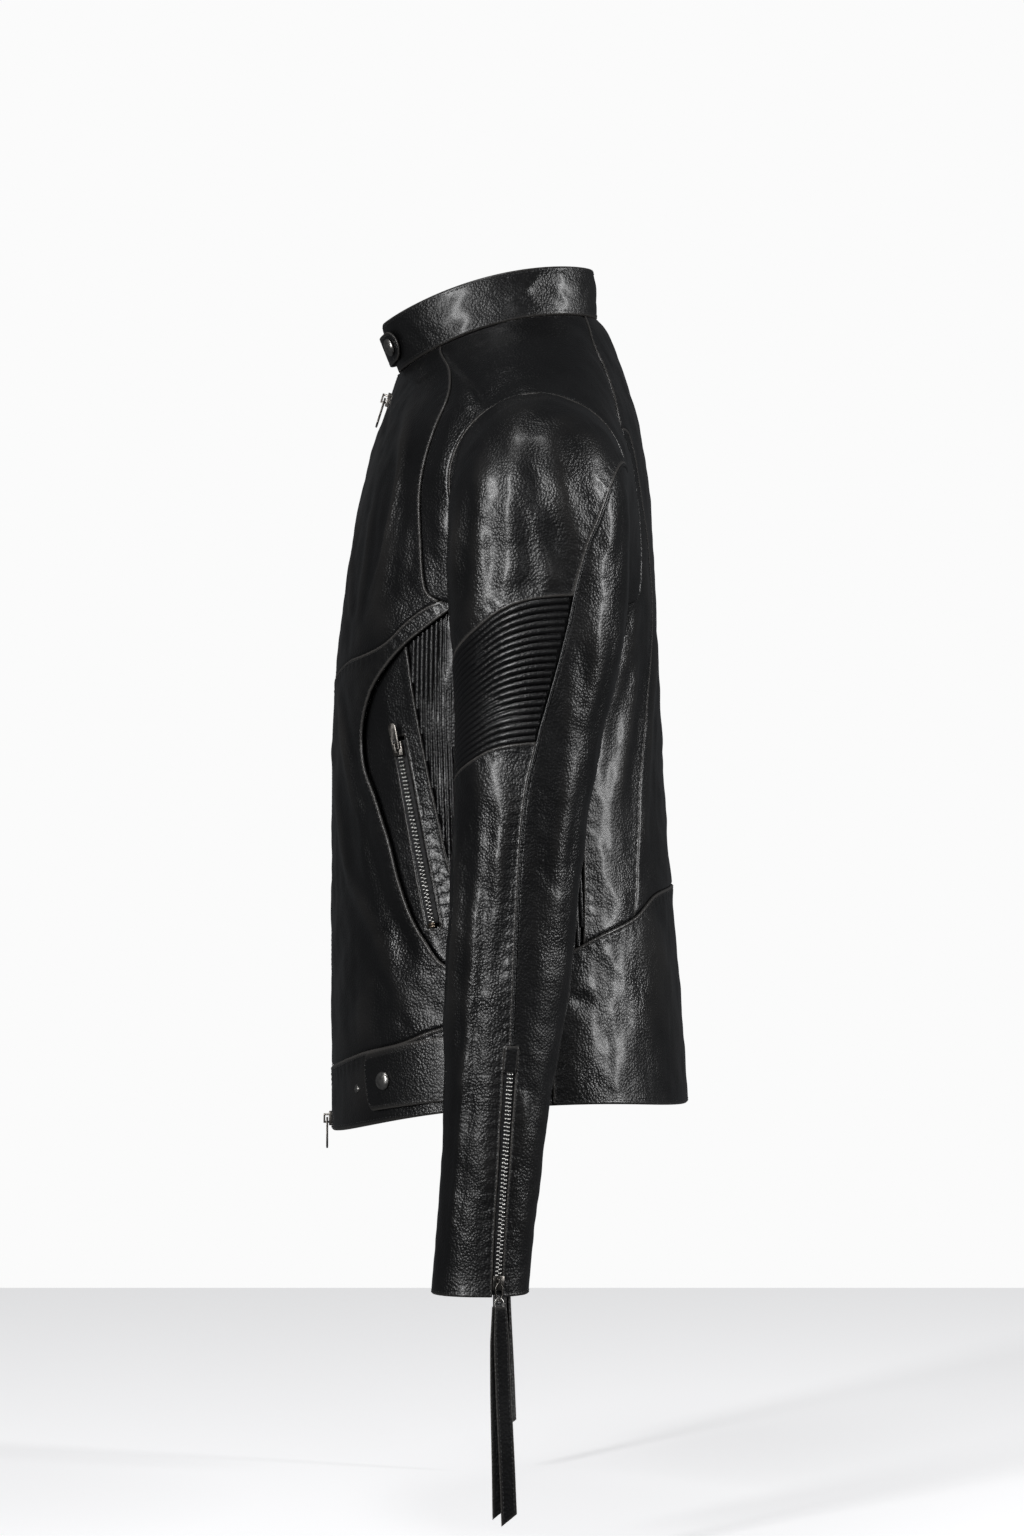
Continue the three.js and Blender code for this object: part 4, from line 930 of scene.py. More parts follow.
def join_middle(piece):
    """Takes out the walls between two halves and merges them along the middle line."""
    shape = bmesh.new()
    shape.from_mesh(piece.data)
    walls = [f for f in shape.faces if all(abs(v.co.x) < 0.03 * MM for v in f.verts)]
    bmesh.ops.delete(shape, geom=walls, context="FACES")
    bmesh.ops.remove_doubles(shape, verts=[v for v in shape.verts if abs(v.co.x) < 0.03 * MM], dist=0.05 * MM)
    shape.to_mesh(piece.data)
    shape.free()


BEND_SPAN = ((0.24, 0.02, -0.268), (0.24, 0.02, -0.310))  # where the sleeve bends at the elbow
print("leather", LEATHER_THICKNESS, "mm thick")

# %% [markdown]
# ## Cutting the body
# The pocket seam crosses the front edge of the ribbed side twice, so it is used in two
# stretches. The pocket panel and the ribbed side lie a little deeper than the panels
# round them. The pocket's zip sits in a slot in its panel, between two leather lips.

# %% Body panels
pocket_high, pocket_low = seam["pocket"][:70], seam["pocket"][60:]
rib_front, rib_back = seam["rib_front"], seam["rib_back"]
SUNK = 3.0


def sunk(flat):
    """The side panels lie deeper, which fades out towards the back."""
    angle = np.interp(flat[:, 0], body.u, body.across)
    return -SUNK * np.clip((113 - angle) / 23, 0, 1)


front_upper_sides = cut(front_edge, seam["chest"], seam["raglan_front"], neck_edge)
make_panel("front_upper", body, front_upper_sides, [turned_edge, under, over, under])
front_panel_sides = cut(front_edge, seam["chest"], seam["raglan_base"], seam["pocket"], seam["side"],
                        seam["hem"])
make_panel("front_panel", body, front_panel_sides, [turned_edge, over, under, over, under, under])
back_side_sides = cut(rib_back, seam["raglan_base"], seam["raglan_back"], seam["back"], seam["pocket"])
make_panel("back_side", body, back_side_sides, [over, under, under, over, under])
centre_back_sides = cut(middle_back, neck_edge, seam["raglan_back"], seam["back"], seam["pocket"])
make_panel("centre_back", body, centre_back_sides, [plain, under, over, under, under], joined=True)
hem_front_sides = cut(front_edge, seam["hem"], seam["side"], hem_edge)
make_panel("hem_front", body, hem_front_sides, [turned_edge, over, under, turned_edge])
hem_back_sides = cut(middle_back, seam["pocket"], seam["side"], hem_edge)
make_panel("hem_back", body, hem_back_sides, [plain, over, over, turned_edge], joined=True)
print("body panels done,", len(stitch_rows), "rows of stitches")

# %% [markdown]
# ## The pocket and the ribbed side
# The hand pocket opens with a straight zip that follows the panel's curved front edge. The
# ribbed side is stretch leather: a flat panel carries a row of soft tubes, one a rib. The
# ribs are drawn as curves, and a Geometry Nodes tree sweeps a circle along each.

# %% Pocket panel with its zip slot
SLOT_HALF = 5.5
POCKET_ZIP_TOP, POCKET_ZIP_END = (59, 6.66), (70.6, 8.25)
pocket_top, pocket_end = (body_surface(*np.array(place, float)) for place in (POCKET_ZIP_TOP, POCKET_ZIP_END))


def slot_sides(pattern, top, end, half, past=3):
    """The four sides of a slot round a straight chain, on the flat pattern."""
    top, end = pattern.flat(top), pattern.flat(end)
    along = unit(top - end)
    aside = np.array([-along[1], along[0]]) * half
    a, b = end - along * past, top + along * past
    corners = [a - aside, a + aside, b + aside, b - aside, a - aside]
    return [even(np.array(corners[k:k + 2]), 2.0) for k in range(4)]


first_meet = crossing(longer(pocket_high), longer(rib_front))
last_meet = crossing(longer(pocket_low), longer(rib_front))
pocket_sides = [
    np.vstack([stretch(longer(pocket_high), first_meet[0], 61),
               stretch(longer(pocket_low), 1, last_meet[0])]),
    stretch(longer(rib_front), last_meet[1], first_meet[1])]
pocket_slot = slot_sides(body, POCKET_ZIP_TOP, POCKET_ZIP_END, SLOT_HALF)
make_panel("pocket_panel", body, pocket_sides, [under, over], spacing=2.2, extra=sunk, holes=[pocket_slot])
rib_sides = cut(pocket_high, seam["raglan_base"], rib_back, pocket_low, rib_front)
make_panel("rib_panel", body, rib_sides, [under] * 5, spacing=3.5, material=RIBBED, slot="stretch_ribs",
           extra=lambda flat: sunk(flat) - 1.2)
print("pocket zip", round(float(np.linalg.norm(pocket_top - pocket_end)), 1), "mm long")

# %% [markdown]
# ## A Geometry Nodes tree for tubes
# The curve's own mesh is turned to a curve, evened out and swept with a circle. The tree
# ends by setting the finish, so that the result can be kept as a plain mesh.

# %% Tubes along lines
def new_tree(name, sizes):
    tree = bpy.data.node_groups.new(name, "GeometryNodeTree")
    tree.interface.new_socket("Geometry", in_out="INPUT", socket_type="NodeSocketGeometry")
    for label, value in sizes.items():
        kind = {type(None): "NodeSocketMaterial", int: "NodeSocketInt", float: "NodeSocketFloat"}[type(value)]
        socket = tree.interface.new_socket(label, in_out="INPUT", socket_type=kind)
        if value is not None:
            socket.default_value = value
    tree.interface.new_socket("Geometry", in_out="OUTPUT", socket_type="NodeSocketGeometry")
    return tree, add(tree, "NodeGroupInput").outputs


def end_tree(tree, geometry, material):
    real = add(tree, "GeometryNodeRealizeInstances", {0: geometry}).outputs[0]
    dressed = add(tree, "GeometryNodeSetMaterial", {"Geometry": real, "Material": material}).outputs[0]
    add(tree, "NodeGroupOutput", {"Geometry": dressed})
    return tree


def tube_tree():
    tree, given = new_tree("tubes along lines",
                           {"Radius": 0.002, "Step": 0.004, "Sides": 8, "Material": None})
    curve = add(tree, "GeometryNodeMeshToCurve", {"Mesh": given["Geometry"]}).outputs[0]
    evened = add(tree, "GeometryNodeResampleCurve", {"Curve": curve, "Length": given["Step"]},
                 mode="LENGTH").outputs[0]
    around = add(tree, "GeometryNodeCurvePrimitiveCircle",
                 {"Resolution": given["Sides"], "Radius": given["Radius"]})
    tube = add(tree, "GeometryNodeCurveToMesh", {"Curve": evened, "Profile Curve": around.outputs[0],
                                                 "Fill Caps": True}).outputs[0]
    smooth_tube = add(tree, "GeometryNodeSetShadeSmooth", {"Geometry": tube}).outputs[0]
    return end_tree(tree, smooth_tube, given["Material"])


def make_lines(name, lines, outs=None):
    """An object of loose edges, one chain a line, with the outward direction at each point."""
    mesh = bpy.data.meshes.new(name)
    edges, base = [], 0
    for line in lines:
        edges += [(base + i, base + i + 1) for i in range(len(line) - 1)]
        base += len(line)
    mesh.from_pydata((np.vstack(lines) * MM).tolist(), edges, [])
    if outs is not None:
        mesh.attributes.new("out", "FLOAT_VECTOR", "POINT").data.foreach_set("vector",
                                                                             np.vstack(outs).ravel())
    return new_object(name, mesh)


def grow(made, tree, **values):
    """Runs a tree on an object and keeps the result as the object's own mesh."""
    modifier = made.modifiers.new("grow", "NODES")
    modifier.node_group = tree
    for item in tree.interface.items_tree:
        if item.in_out == "INPUT" and item.name in values:
            modifier[item.identifier] = values[item.name]
    return keep_result(made)


TUBES = tube_tree()
RIB_PITCH = 4.2  # mm between the ribs of the side panel


def clip_line(line, loop):
    """The longest run of a line's points inside a closed outline."""
    good = inside(line, loop)
    best, start = (0, 0), None
    for i, ok in enumerate([*good, False]):
        if ok and start is None:
            start = i
        if not ok and start is not None:
            best = max(best, (i - start, start))
            start = None
    return line[best[1]:best[1] + best[0]]


rib_loop = outline_of(rib_sides)
rib_lines = []
for u in np.arange(rib_loop[:, 0].min() + RIB_PITCH / 2, rib_loop[:, 0].max(), RIB_PITCH):
    down = np.linspace(rib_loop[:, 1].min(), rib_loop[:, 1].max(), 300)
    run = clip_line(np.stack([np.full(300, u), down], -1), rib_loop)
    if len(run) > 12:
        rib_lines.append(run)
for text, side in SIDES.items():
    lines = []
    for run in rib_lines:
        places = body.places(run)
        lines.append(flipped(body_surface(*places) + body_normal(*places) * (sunk(run) - 2.3)[:, None], side))
    ribs = grow(make_lines(f"side_ribs_{text}", lines), TUBES, Radius=2.1 * MM, Step=5 * MM, Sides=8,
                Material=RIBBED)
    dress(ribs, RIBBED, "stretch_ribs")
    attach(ribs, "torso")
print(len(rib_lines), "ribs in each side panel")

# %% [markdown]
# ## The shoulder yokes
# The raglan yoke bridges from the body's raglan seam to the round armhole. It is a ring:
# each column starts on the seam and ends on the armhole at the same turn round its middle,
# crowned a little in between, so a structured grid suits it better than a cut panel.

# %% Yokes
YOKE_COLUMNS, YOKE_ROWS = 260, 56
raglan_spots = np.vstack([body.line(RAGLAN), body.flat([[a, 0] for a in np.linspace(150, 56, 60)])[1:-1]])
raglan_ring = body_surface(*body.places(raglan_spots))
ring_turn = np.unwrap(np.arctan2(raglan_ring[:, 2] - ARMHOLE_Z, raglan_ring[:, 1] - ARMHOLE_Y))
ring_order = np.argsort(ring_turn)


def yoke_surface(turn, share):
    """Turn is round the armhole, in radians; share runs from the raglan seam to the armhole."""
    base = ring_turn.min()
    wrapped = base + np.mod(turn - base, 2 * np.pi)
    closed_turn = np.append(ring_turn[ring_order], base + 2 * np.pi)
    edge = np.stack([np.interp(wrapped, closed_turn, np.append(ring, ring[0]))
                     for ring in raglan_ring[ring_order].T], -1)
    mouth = np.stack([np.full(turn.shape, ARMHOLE_X), ARMHOLE_Y + ARMHOLE_RADIUS * np.cos(turn),
                      ARMHOLE_Z + ARMHOLE_RADIUS * np.sin(turn)], -1)
    crown = np.sin(np.clip(share, 0, 1) * np.pi) * 4
    lift = np.stack([crown, crown * 0, np.sin(turn) * crown * 0.5], -1)
    return edge + (mouth - edge) * share[..., None] + lift


def yoke_normal(turn, share):
    along = yoke_surface(turn, np.minimum(share + 0.03, 1)) - yoke_surface(turn, np.maximum(share - 0.03, 0))
    around = yoke_surface(turn + 0.05, share) - yoke_surface(turn - 0.05, share)
    normal = unit(np.cross(around, along))
    return normal * np.where(normal[..., :1] < 0, -1, 1)


steps = np.linspace(0, 1, YOKE_ROWS)
share_rows = steps - 0.14 * np.sin(2 * np.pi * steps)
turn_grid, share_grid = np.meshgrid(np.linspace(0, 2 * np.pi, YOKE_COLUMNS, endpoint=False), share_rows)
yoke_points, yoke_normals = yoke_surface(turn_grid, share_grid), yoke_normal(turn_grid, share_grid)
yoke_width = np.linalg.norm(np.diff(yoke_points, axis=0), axis=-1).cumsum(0)
yoke_away = np.vstack([yoke_width[:1] * 0, yoke_width])
to_armhole = yoke_away[-1] - yoke_away
for text, side in SIDES.items():
    points, normals = (flipped(a.reshape(-1, 3), side) for a in (yoke_points, yoke_normals))
    near_seam, near_armhole = yoke_away.ravel(), to_armhole.ravel()
    fade = 1 - 0.8 * np.exp(-(np.minimum(near_seam, near_armhole) / 9) ** 2)
    fan = np.sin(turn_grid * 9 + 1.3 * np.sin(turn_grid * 2)).ravel() * np.exp(-((near_armhole - 12) / 9) ** 2)
    height = unevenness(points) * fade + under(near_seam) + over(near_armhole) + 0.5 * fan
    faces = grid_faces(YOKE_ROWS, YOKE_COLUMNS, closed=True)
    if side > 0:
        faces = faces[:, ::-1]
    a, b, c = (points[faces[:, k]] for k in (0, 1, 2))
    if (np.cross(b - a, c - a) * normals[faces[:, 0]]).sum() < 0:
        faces = faces[:, ::-1]
    solid, walls = thicken(points + normals * height[:, None], normals, faces, LEATHER_THICKNESS)
    # lighter along the armhole welt: rub wear and a painted highlight
    piece = make_object(f"yoke_{text}_leather", solid, walls, {"wear_and_highlight": np.tile(welt_wear_and_highlight(near_armhole), 2)})
    dress(piece, SHELL, "shell_leather", f"yoke_{text}")
    row = np.linspace(0, 2 * np.pi, 260, endpoint=False)
    share = np.array([np.interp(-STITCH_IN, -to_armhole[:, k], share_rows) for k in range(YOKE_COLUMNS)])
    row_out = flipped(yoke_normal(row, share), side)
    stitch_rows.append((("torso",), flipped(yoke_surface(row, share), side) + row_out * 0.3, row_out))
print("yokes", len(walls), "faces each")

# %% [markdown]
# ## The sleeves
# A sleeve has an outer panel over the shoulder, an under-sleeve that runs its whole length,
# an accordion of pleats at the elbow and a forearm panel that opens along a zip. The
# pleats and the under-sleeve cross the elbow joint, so they bend between the two bodies.

# %% Sleeve panels
armhole_line = sleeve.flat([[turn, SLEEVE_HEAD] for turn in np.linspace(-60, 320, 191)])
cuff_line = sleeve.flat([[turn, ARM_LENGTH] for turn in np.linspace(-40, 380, 211)])
back_sleeve, inner_sleeve = sleeve.line(BACK_SLEEVE), sleeve.line(INNER_SLEEVE)
inner_under = sleeve.line([[turn - 360, reach] for turn, reach in INNER_SLEEVE])
elbow_top, elbow_low = sleeve.line(ELBOW_TOP), sleeve.line(ELBOW_LOW)
CUFF_ZIP_TOP, CUFF_ZIP_END = (170.3, 362), (159.5, ARM_LENGTH - 5)
zip_run = sleeve.flat([CUFF_ZIP_TOP, (CUFF_ZIP_END[0] - 0.3, ARM_LENGTH + 2)])
zip_front, zip_back = (zip_run + [sign * SLOT_HALF, 0] for sign in (1, -1))
zip_head = sleeve.flat([[turn, 359.5] for turn in (150, 190)])
outer_sides = cut(armhole_line, inner_sleeve, elbow_top, back_sleeve)
make_panel("sleeve_outer", sleeve, outer_sides, [under, under, over, over])
forearm_sides = cut(elbow_low, inner_sleeve, cuff_line, zip_front, zip_head, back_sleeve)
make_panel("forearm", sleeve, forearm_sides, [over, under, turned_edge, over, plain, over])
under_sides = cut(armhole_line, back_sleeve, zip_head, zip_back, cuff_line, inner_under)
make_panel("under_sleeve", sleeve, under_sides, [under, under, plain, over, turned_edge, over],
           blended=True, replaced=["under_sleeve_upper", "under_sleeve_lower"])
elbow_sides = cut(elbow_top, inner_sleeve, elbow_low, back_sleeve)
make_panel("elbow_ribs", sleeve, elbow_sides, [under] * 4, spacing=3.5, material=RIBBED,
           slot="stretch_ribs", extra=lambda flat: np.full(len(flat), -1.3), blended=True,
           replaced=["elbow_ribs"])
print("sleeve panels done")

# %% [markdown]
# ## Accordion elbow and piping
# Each pleat at the elbow is a soft tube that runs from the inner seam to the back seam. It
# takes its place between the panel's upper and lower seams, so the pleats fan out over
# the outside of the elbow. A thin piping covers the seam behind them.

# %% Elbow pleats and piping
PLEATS = 20
elbow_loop = outline_of(elbow_sides)
top_turns, low_turns = elbow_sides[0], elbow_sides[2]
top_at = lambda u: np.interp(u, *top_turns[np.argsort(top_turns[:, 0])].T)
low_at = lambda u: np.interp(u, *low_turns[np.argsort(low_turns[:, 0])].T)
across = np.linspace(elbow_loop[:, 0].min(), elbow_loop[:, 0].max(), 90)
pleat_lines = []
for k in range(PLEATS):
    share = (k + 0.5) / PLEATS
    run = np.stack([across, top_at(across) * (1 - share) + low_at(across) * share], -1)
    run = clip_line(run, elbow_loop)
    if len(run) > 8:
        pleat_lines.append(run[1:-1])

piping = np.vstack([back_sleeve[(back_sleeve[:, 1] > sleeve.flat((0, -96))[1]) & (back_sleeve[:, 1] < 359)]])
for text, side in SIDES.items():
    lines = []
    for run in pleat_lines:
        places = sleeve.places(run)
        lines.append(flipped(sleeve_surface(*places) + sleeve_normal(*places) * -1.5, side))
    pleats = grow(make_lines(f"elbow_pleats_{text}", lines), TUBES, Radius=2.65 * MM, Step=4 * MM, Sides=10,
                  Material=RIBBED)
    blended_piece(pleats, text, RIBBED, "stretch_ribs")
    places = sleeve.places(even(piping, 3))
    cord = flipped(sleeve_surface(*places) + sleeve_normal(*places) * -0.2, side)
    welt = grow(make_lines(f"sleeve_piping_{text}", [cord]), TUBES, Radius=1.3 * MM, Step=3 * MM, Sides=10,
                Material=TRIM)
    blended_piece(welt, text, TRIM, "shell_leather")
print(len(pleat_lines), "pleats at each elbow")

# %% [markdown]
# ## Slabs
# The collar, tabs, tapes and linings are bands of even thickness. Two grids of points, one
# for each face, and a wall round them make a closed band. An edge is rounded by letting
# the two faces meet there.

# %% Slabs between two grids
def slab(name, outer, inner, closed=False, values=None):
    """A closed band between two grids of points (rows, columns, 3)."""
    rows, columns = outer.shape[:2]
    count = rows * columns
    face = grid_faces(rows, columns, closed)
    sides = np.concatenate([face[:, [k, (k + 1) % 4]] for k in range(4)])
    _, first, uses = np.unique(np.sort(sides, axis=1), axis=0, return_index=True, return_counts=True)
    rim = sides[first[uses == 1]]
    walls = np.stack([rim[:, 1], rim[:, 0], rim[:, 0] + count, rim[:, 1] + count], -1)
    points = np.vstack([outer.reshape(-1, 3), inner.reshape(-1, 3)])
    made = make_object(name, points, [*face, *(face[:, ::-1] + count), *walls], values)
    return tidy_mesh(made, 0.01)


def rolled(away, radius):
    """0 at an edge, rising to 1 a radius further in, as a rolled edge does."""
    return np.sqrt(1 - (1 - np.clip(away / radius, 0, 1)) ** 2)


def edge_wear_and_highlight(away, amount, width):
    """The wear and painted highlight of both faces of a slab, strongest at its edges."""
    return {"wear_and_highlight": np.tile((amount * np.exp(-(away / width) ** 2)).ravel(), 2)}


def graded(count, length, radius):
    """Places from 0 to 1, closer together near both ends of a strip."""
    ends = np.array([0, 0.08, 0.3, 0.65, 1]) * radius
    middle = np.linspace(radius, length - radius, count)[1:-1]
    return np.concatenate([ends, middle, (length - ends)[::-1]]) / length


print("slab helper ready")

# %% [markdown]
# ## Collar
# A stand collar is two layers of leather over a stiffener, turned at the top and stitched
# all round. It is a band on its own surface, which leans in towards the top, and its
# front corners are rounded. A few soft wrinkles cross it behind the ear.

# %% Collar
COLLAR_HEIGHT, COLLAR_THICKNESS = 38, 4


def collar_surface(angle, share):
    base = body_surface(angle, np.zeros(np.shape(angle)))
    c, s = np.cos(np.radians(angle)), np.sin(np.radians(angle))
    front, side, back = -17 + COLLAR_HEIGHT, 17 + COLLAR_HEIGHT, 28 + COLLAR_HEIGHT
    height = side + (front - back) / 2 * c + ((front + back) / 2 - side) * c * c
    top = np.stack([(NECK_HALF - 6) * s, -10.5 - 85.5 * c, height], -1)
    base = base + [0, 0, 0.3]
    return base + (top - base) * np.asarray(share)[..., None]


def collar_normal(angle, share):
    return -surface_normal(collar_surface, angle, np.clip(share, 0.02, 0.98), 0.5, 0.02)


collar_start = float(np.degrees(np.arcsin(FRONT_EDGE / NECK_HALF)))
collar_mid = collar_surface(np.linspace(collar_start, 360 - collar_start, 400), np.full(400, 0.5))
collar_length = float(np.linalg.norm(np.diff(collar_mid, axis=0), axis=1).sum())
along = graded(200, collar_length, 2.4)
up = graded(22, COLLAR_HEIGHT, 2.2)
angle_grid, up_grid = np.meshgrid(collar_start + (360 - 2 * collar_start) * along, up)
from_end = np.minimum(along, 1 - along) * collar_length
CORNER = 10
corner_drop = CORNER - np.sqrt(np.maximum(CORNER**2 - (CORNER - np.minimum(from_end, CORNER)) ** 2, 0))
share_grid = up_grid * (1 - corner_drop / COLLAR_HEIGHT)[None]
collar_base, collar_out = collar_surface(angle_grid, share_grid), collar_normal(angle_grid, share_grid)
edge_in = np.minimum(np.minimum(up_grid, 1 - up_grid) * COLLAR_HEIGHT, from_end[None])
half = COLLAR_THICKNESS / 2 * rolled(edge_in, 2.2)
wrinkle = np.zeros(angle_grid.shape)
for height, width, line in (
        (1.2, 3, [[118, 0.86], [112, 0.62], [104, 0.46], [96, 0.36]]),
        (-0.9, 3, [[112, 0.62], [120, 0.5], [128, 0.42]]),
        (0.8, 2.6, [[109, 0.58], [111, 0.4], [116, 0.24]]), (0.7, 4, [[40, 0.7], [52, 0.5], [66, 0.44]]),
        (0.6, 4, [[150, 0.3], [160, 0.55], [168, 0.75]])):
    spots = np.stack([angle_grid * 1.35, share_grid * COLLAR_HEIGHT], -1).reshape(-1, 2)
    away, share = near_line(spots, smooth(line, np.linspace(0, len(line) - 1, 20)) * [1.35, COLLAR_HEIGHT])
    fade = np.sin(np.pi * np.clip(share, 0.02, 0.98)) ** 0.6
    wrinkle += (height * np.exp(-(away / width) ** 2) * fade).reshape(wrinkle.shape)
flat_points = collar_base.reshape(-1, 3)
wrinkle += (0.5 * waves_at(flat_points, 21, 34) + 0.2 * waves_at(flat_points, 22, 14)).reshape(wrinkle.shape)
wrinkle *= 1 - np.exp(-(edge_in / 5) ** 2)
groove = -0.4 * np.exp(-((edge_in - 3) / 0.9) ** 2)
middle = -COLLAR_THICKNESS / 2
collar_outer = collar_base + collar_out * (middle + half + wrinkle + groove)[..., None]
collar_inner = collar_base + collar_out * (middle - half + 0.4 * wrinkle)[..., None]
# the collar's edges are lighter: wear and a painted highlight
collar = slab("collar_leather", collar_outer, collar_inner, values=edge_wear_and_highlight(edge_in, 0.5, 1.2))
dress(collar, TRIM, "collar_leather", "collar")
for share in (3.0 / COLLAR_HEIGHT, 1 - 3.0 / COLLAR_HEIGHT):
    spots = np.linspace(collar_start + 4, 356 - collar_start, 400)
    out = collar_normal(spots, np.full(400, share))
    stitch_rows.append((("torso",), collar_surface(spots, np.full(400, share)) - out * 0.25, out))
print("collar", round(collar_length), "mm long")

# %% [markdown]
# ## Tabs
# A leather tab closes the collar over the zip, and two more tighten the hem. Each is a
# strip with a rounded tip, stitched all round, that lies over its stud on a little room.

# %% Leather tabs
def tab(name, place, normal, length, width, node_name, side, tip_radius):
    """place(s, t) gives the point of a strip: s runs to the tip and t across, both 0 to 1."""
    s, t = graded(60, length, 1.0), graded(12, width, 1.0)
    s_grid, t_grid = np.meshgrid(s, t)
    from_tip = (1 - s) * length
    pinch = np.sqrt(np.maximum(1 - (1 - np.clip(from_tip / tip_radius, 0.02, 1)) ** 2, 0.02))
    t_round = 0.5 + (t_grid - 0.5) * pinch[None]
    base, out = place(s_grid, t_round), normal(s_grid, t_round)
    edge = np.minimum(np.minimum(t_grid, 1 - t_grid) * width * pinch[None],
                      np.minimum(s, 1 - s)[None] * length)
    bulge = rolled(edge, 1.0)
    groove = -0.3 * np.exp(-((edge - 2.4) / 0.7) ** 2)
    outer, inner = base + out * (0.8 * bulge + groove)[..., None], base - out * (0.8 * bulge)[..., None]
    # the tab's edges are lighter: wear and a painted highlight
    made = slab(name, flipped(outer, side), flipped(inner, side), values=edge_wear_and_highlight(edge, 0.5, 1.0))
    dress(made, TRIM, "strap_leather", node_name)
    loop_s = np.concatenate([np.linspace(0.04, 1 - 2.4 / length, 90), np.full(9, 1 - 2.4 / length),
                             np.linspace(1 - 2.4 / length, 0.04, 90)])
    loop_t = np.concatenate([np.full(90, 2.4 / width), np.linspace(2.4 / width, 1 - 2.4 / width, 9),
                             np.full(90, 1 - 2.4 / width)])
    squeeze = np.interp(loop_s, s, pinch)
    loop_t = 0.5 + (loop_t - 0.5) * squeeze
    ring, ring_out = place(loop_s, loop_t), normal(loop_s, loop_t)
    stitch_rows.append(((body_name(node_name),), flipped(ring + ring_out * 0.62, side),
                        flipped(ring_out, side)))
    return made


TAB_ROOT, TAB_TIP, TAB_LOW, TAB_HIGH = -24, 28, 0.18, 0.78


def collar_tab_place(s, t):
    angle, share = TAB_ROOT + (TAB_TIP - TAB_ROOT) * s, TAB_LOW + (TAB_HIGH - TAB_LOW) * t
    lift = 1.1 + 2.3 * np.clip(s / 0.12, 0, 1) ** 0.7
    return collar_surface(angle, share) + collar_normal(angle, share) * lift[..., None]


def collar_tab_normal(s, t):
    return collar_normal(TAB_ROOT + (TAB_TIP - TAB_ROOT) * s, TAB_LOW + (TAB_HIGH - TAB_LOW) * t)


tab("collar_tab_leather", collar_tab_place, collar_tab_normal, 66, 22, "collar_tab", 1, 11)


def hem_tab_at(s, t):
    """The tip is at the front; its lower edge starts a little further back."""
    start = 41.5 + 3 * t
    angle = 82 + (start - 82) * s
    return angle, 9.36 + 0.47 * t - 0.16 * (1 - s) * (1 - t)


def hem_tab_place(s, t):
    places = hem_tab_at(s, t)
    lift = 0.9 + 1.6 * np.clip(s / 0.15, 0, 1) ** 0.7
    return body_surface(*places) + body_normal(*places) * lift[..., None]


for text, side in SIDES.items():
    tab(f"hem_tab_{text}_leather", hem_tab_place, lambda s, t: body_normal(*hem_tab_at(s, t)), 98, 26,
        f"hem_tab_{text}", side, 7)
print("three tabs")

# %% [markdown]
# ## Snaps
# A ring snap has a domed cap that shows on the tab and a stud with a raised post under it.
# Both are turned shapes: a profile is swept round the snap's own axis.

# %% Snap caps and studs
CAP = [(0, 3.4), (1.5, 3.38), (3, 3.25), (4.5, 2.95), (5.6, 2.5), (6.3, 2.0), (6.75, 1.5), (7.05, 1.05),
       (7.15, 0.7),
       (7.0, 0.35), (6.6, 0.1), (6.0, 0), (0, 0)]
STUD = [(0, 1.55), (1.0, 1.6), (1.6, 1.9), (2.1, 1.95), (2.5, 1.8), (2.6, 1.4), (2.45, 1.0), (3.2, 0.95),
        (4.1, 0.9),
        (4.5, 0.7), (4.6, 0.4), (4.45, 0.1), (4.2, 0), (0, 0)]


def turned(name, profile, centre, out, segments=48):
    out = unit(np.asarray(out, float))
    across = unit(np.cross([0, 0, 1.0], out))
    upward = np.cross(out, across)
    circle = np.linspace(0, 2 * np.pi, segments, endpoint=False)[:, None]
    rings = [centre + out * height + radius * (np.cos(circle) * across + np.sin(circle) * upward)
             for radius, height in profile]
    made = make_object(name, np.vstack(rings), grid_faces(len(profile), segments, closed=True))
    return tidy_mesh(made, 0.005)


def on(surface, normal, a, b, lift):
    a, b = np.array([float(a)]), np.array([float(b)])
    out = normal(a, b)[0]
    return surface(a, b)[0] + out * lift, out


cap_at, stud_at = on(collar_surface, collar_normal, 19, 0.48, 4.45), on(collar_surface, collar_normal, 19,
                                                                        0.48, 0.2)
for name, profile, (centre, out), node_name in (
        ("collar_snap_cap_metal", CAP, cap_at, "collar_snap_cap"),
        ("collar_snap_stud_metal", STUD, stud_at, "collar_snap_stud")):
    dress(turned(name, profile, centre, out), NICKEL, "snap_metal", node_name)
hem_cap, hem_stud = on(body_surface, body_normal, 52, 9.57, 3.4), on(body_surface, body_normal, 37.6, 9.62,
                                                                     0.7)
for text, side in SIDES.items():
    for name, profile, (centre, out), node_name in (
            ("hem_snap_cap", CAP, hem_cap, "hem_snap_cap"), ("hem_stud", STUD, hem_stud, "hem_stud")):
        piece = turned(f"{name}_{text}_metal", profile, flipped(centre, side), flipped(out, side))
        dress(piece, NICKEL, "snap_metal", f"{node_name}_{text}")
print("three snaps")

# %% [markdown]
# ## Zip teeth
# A zip's teeth repeat at an even pitch along a curve: the very thing for Geometry Nodes.
# The tree spaces points along the line and sets one tooth on each, turned so that it lies
# along the zip and faces out.

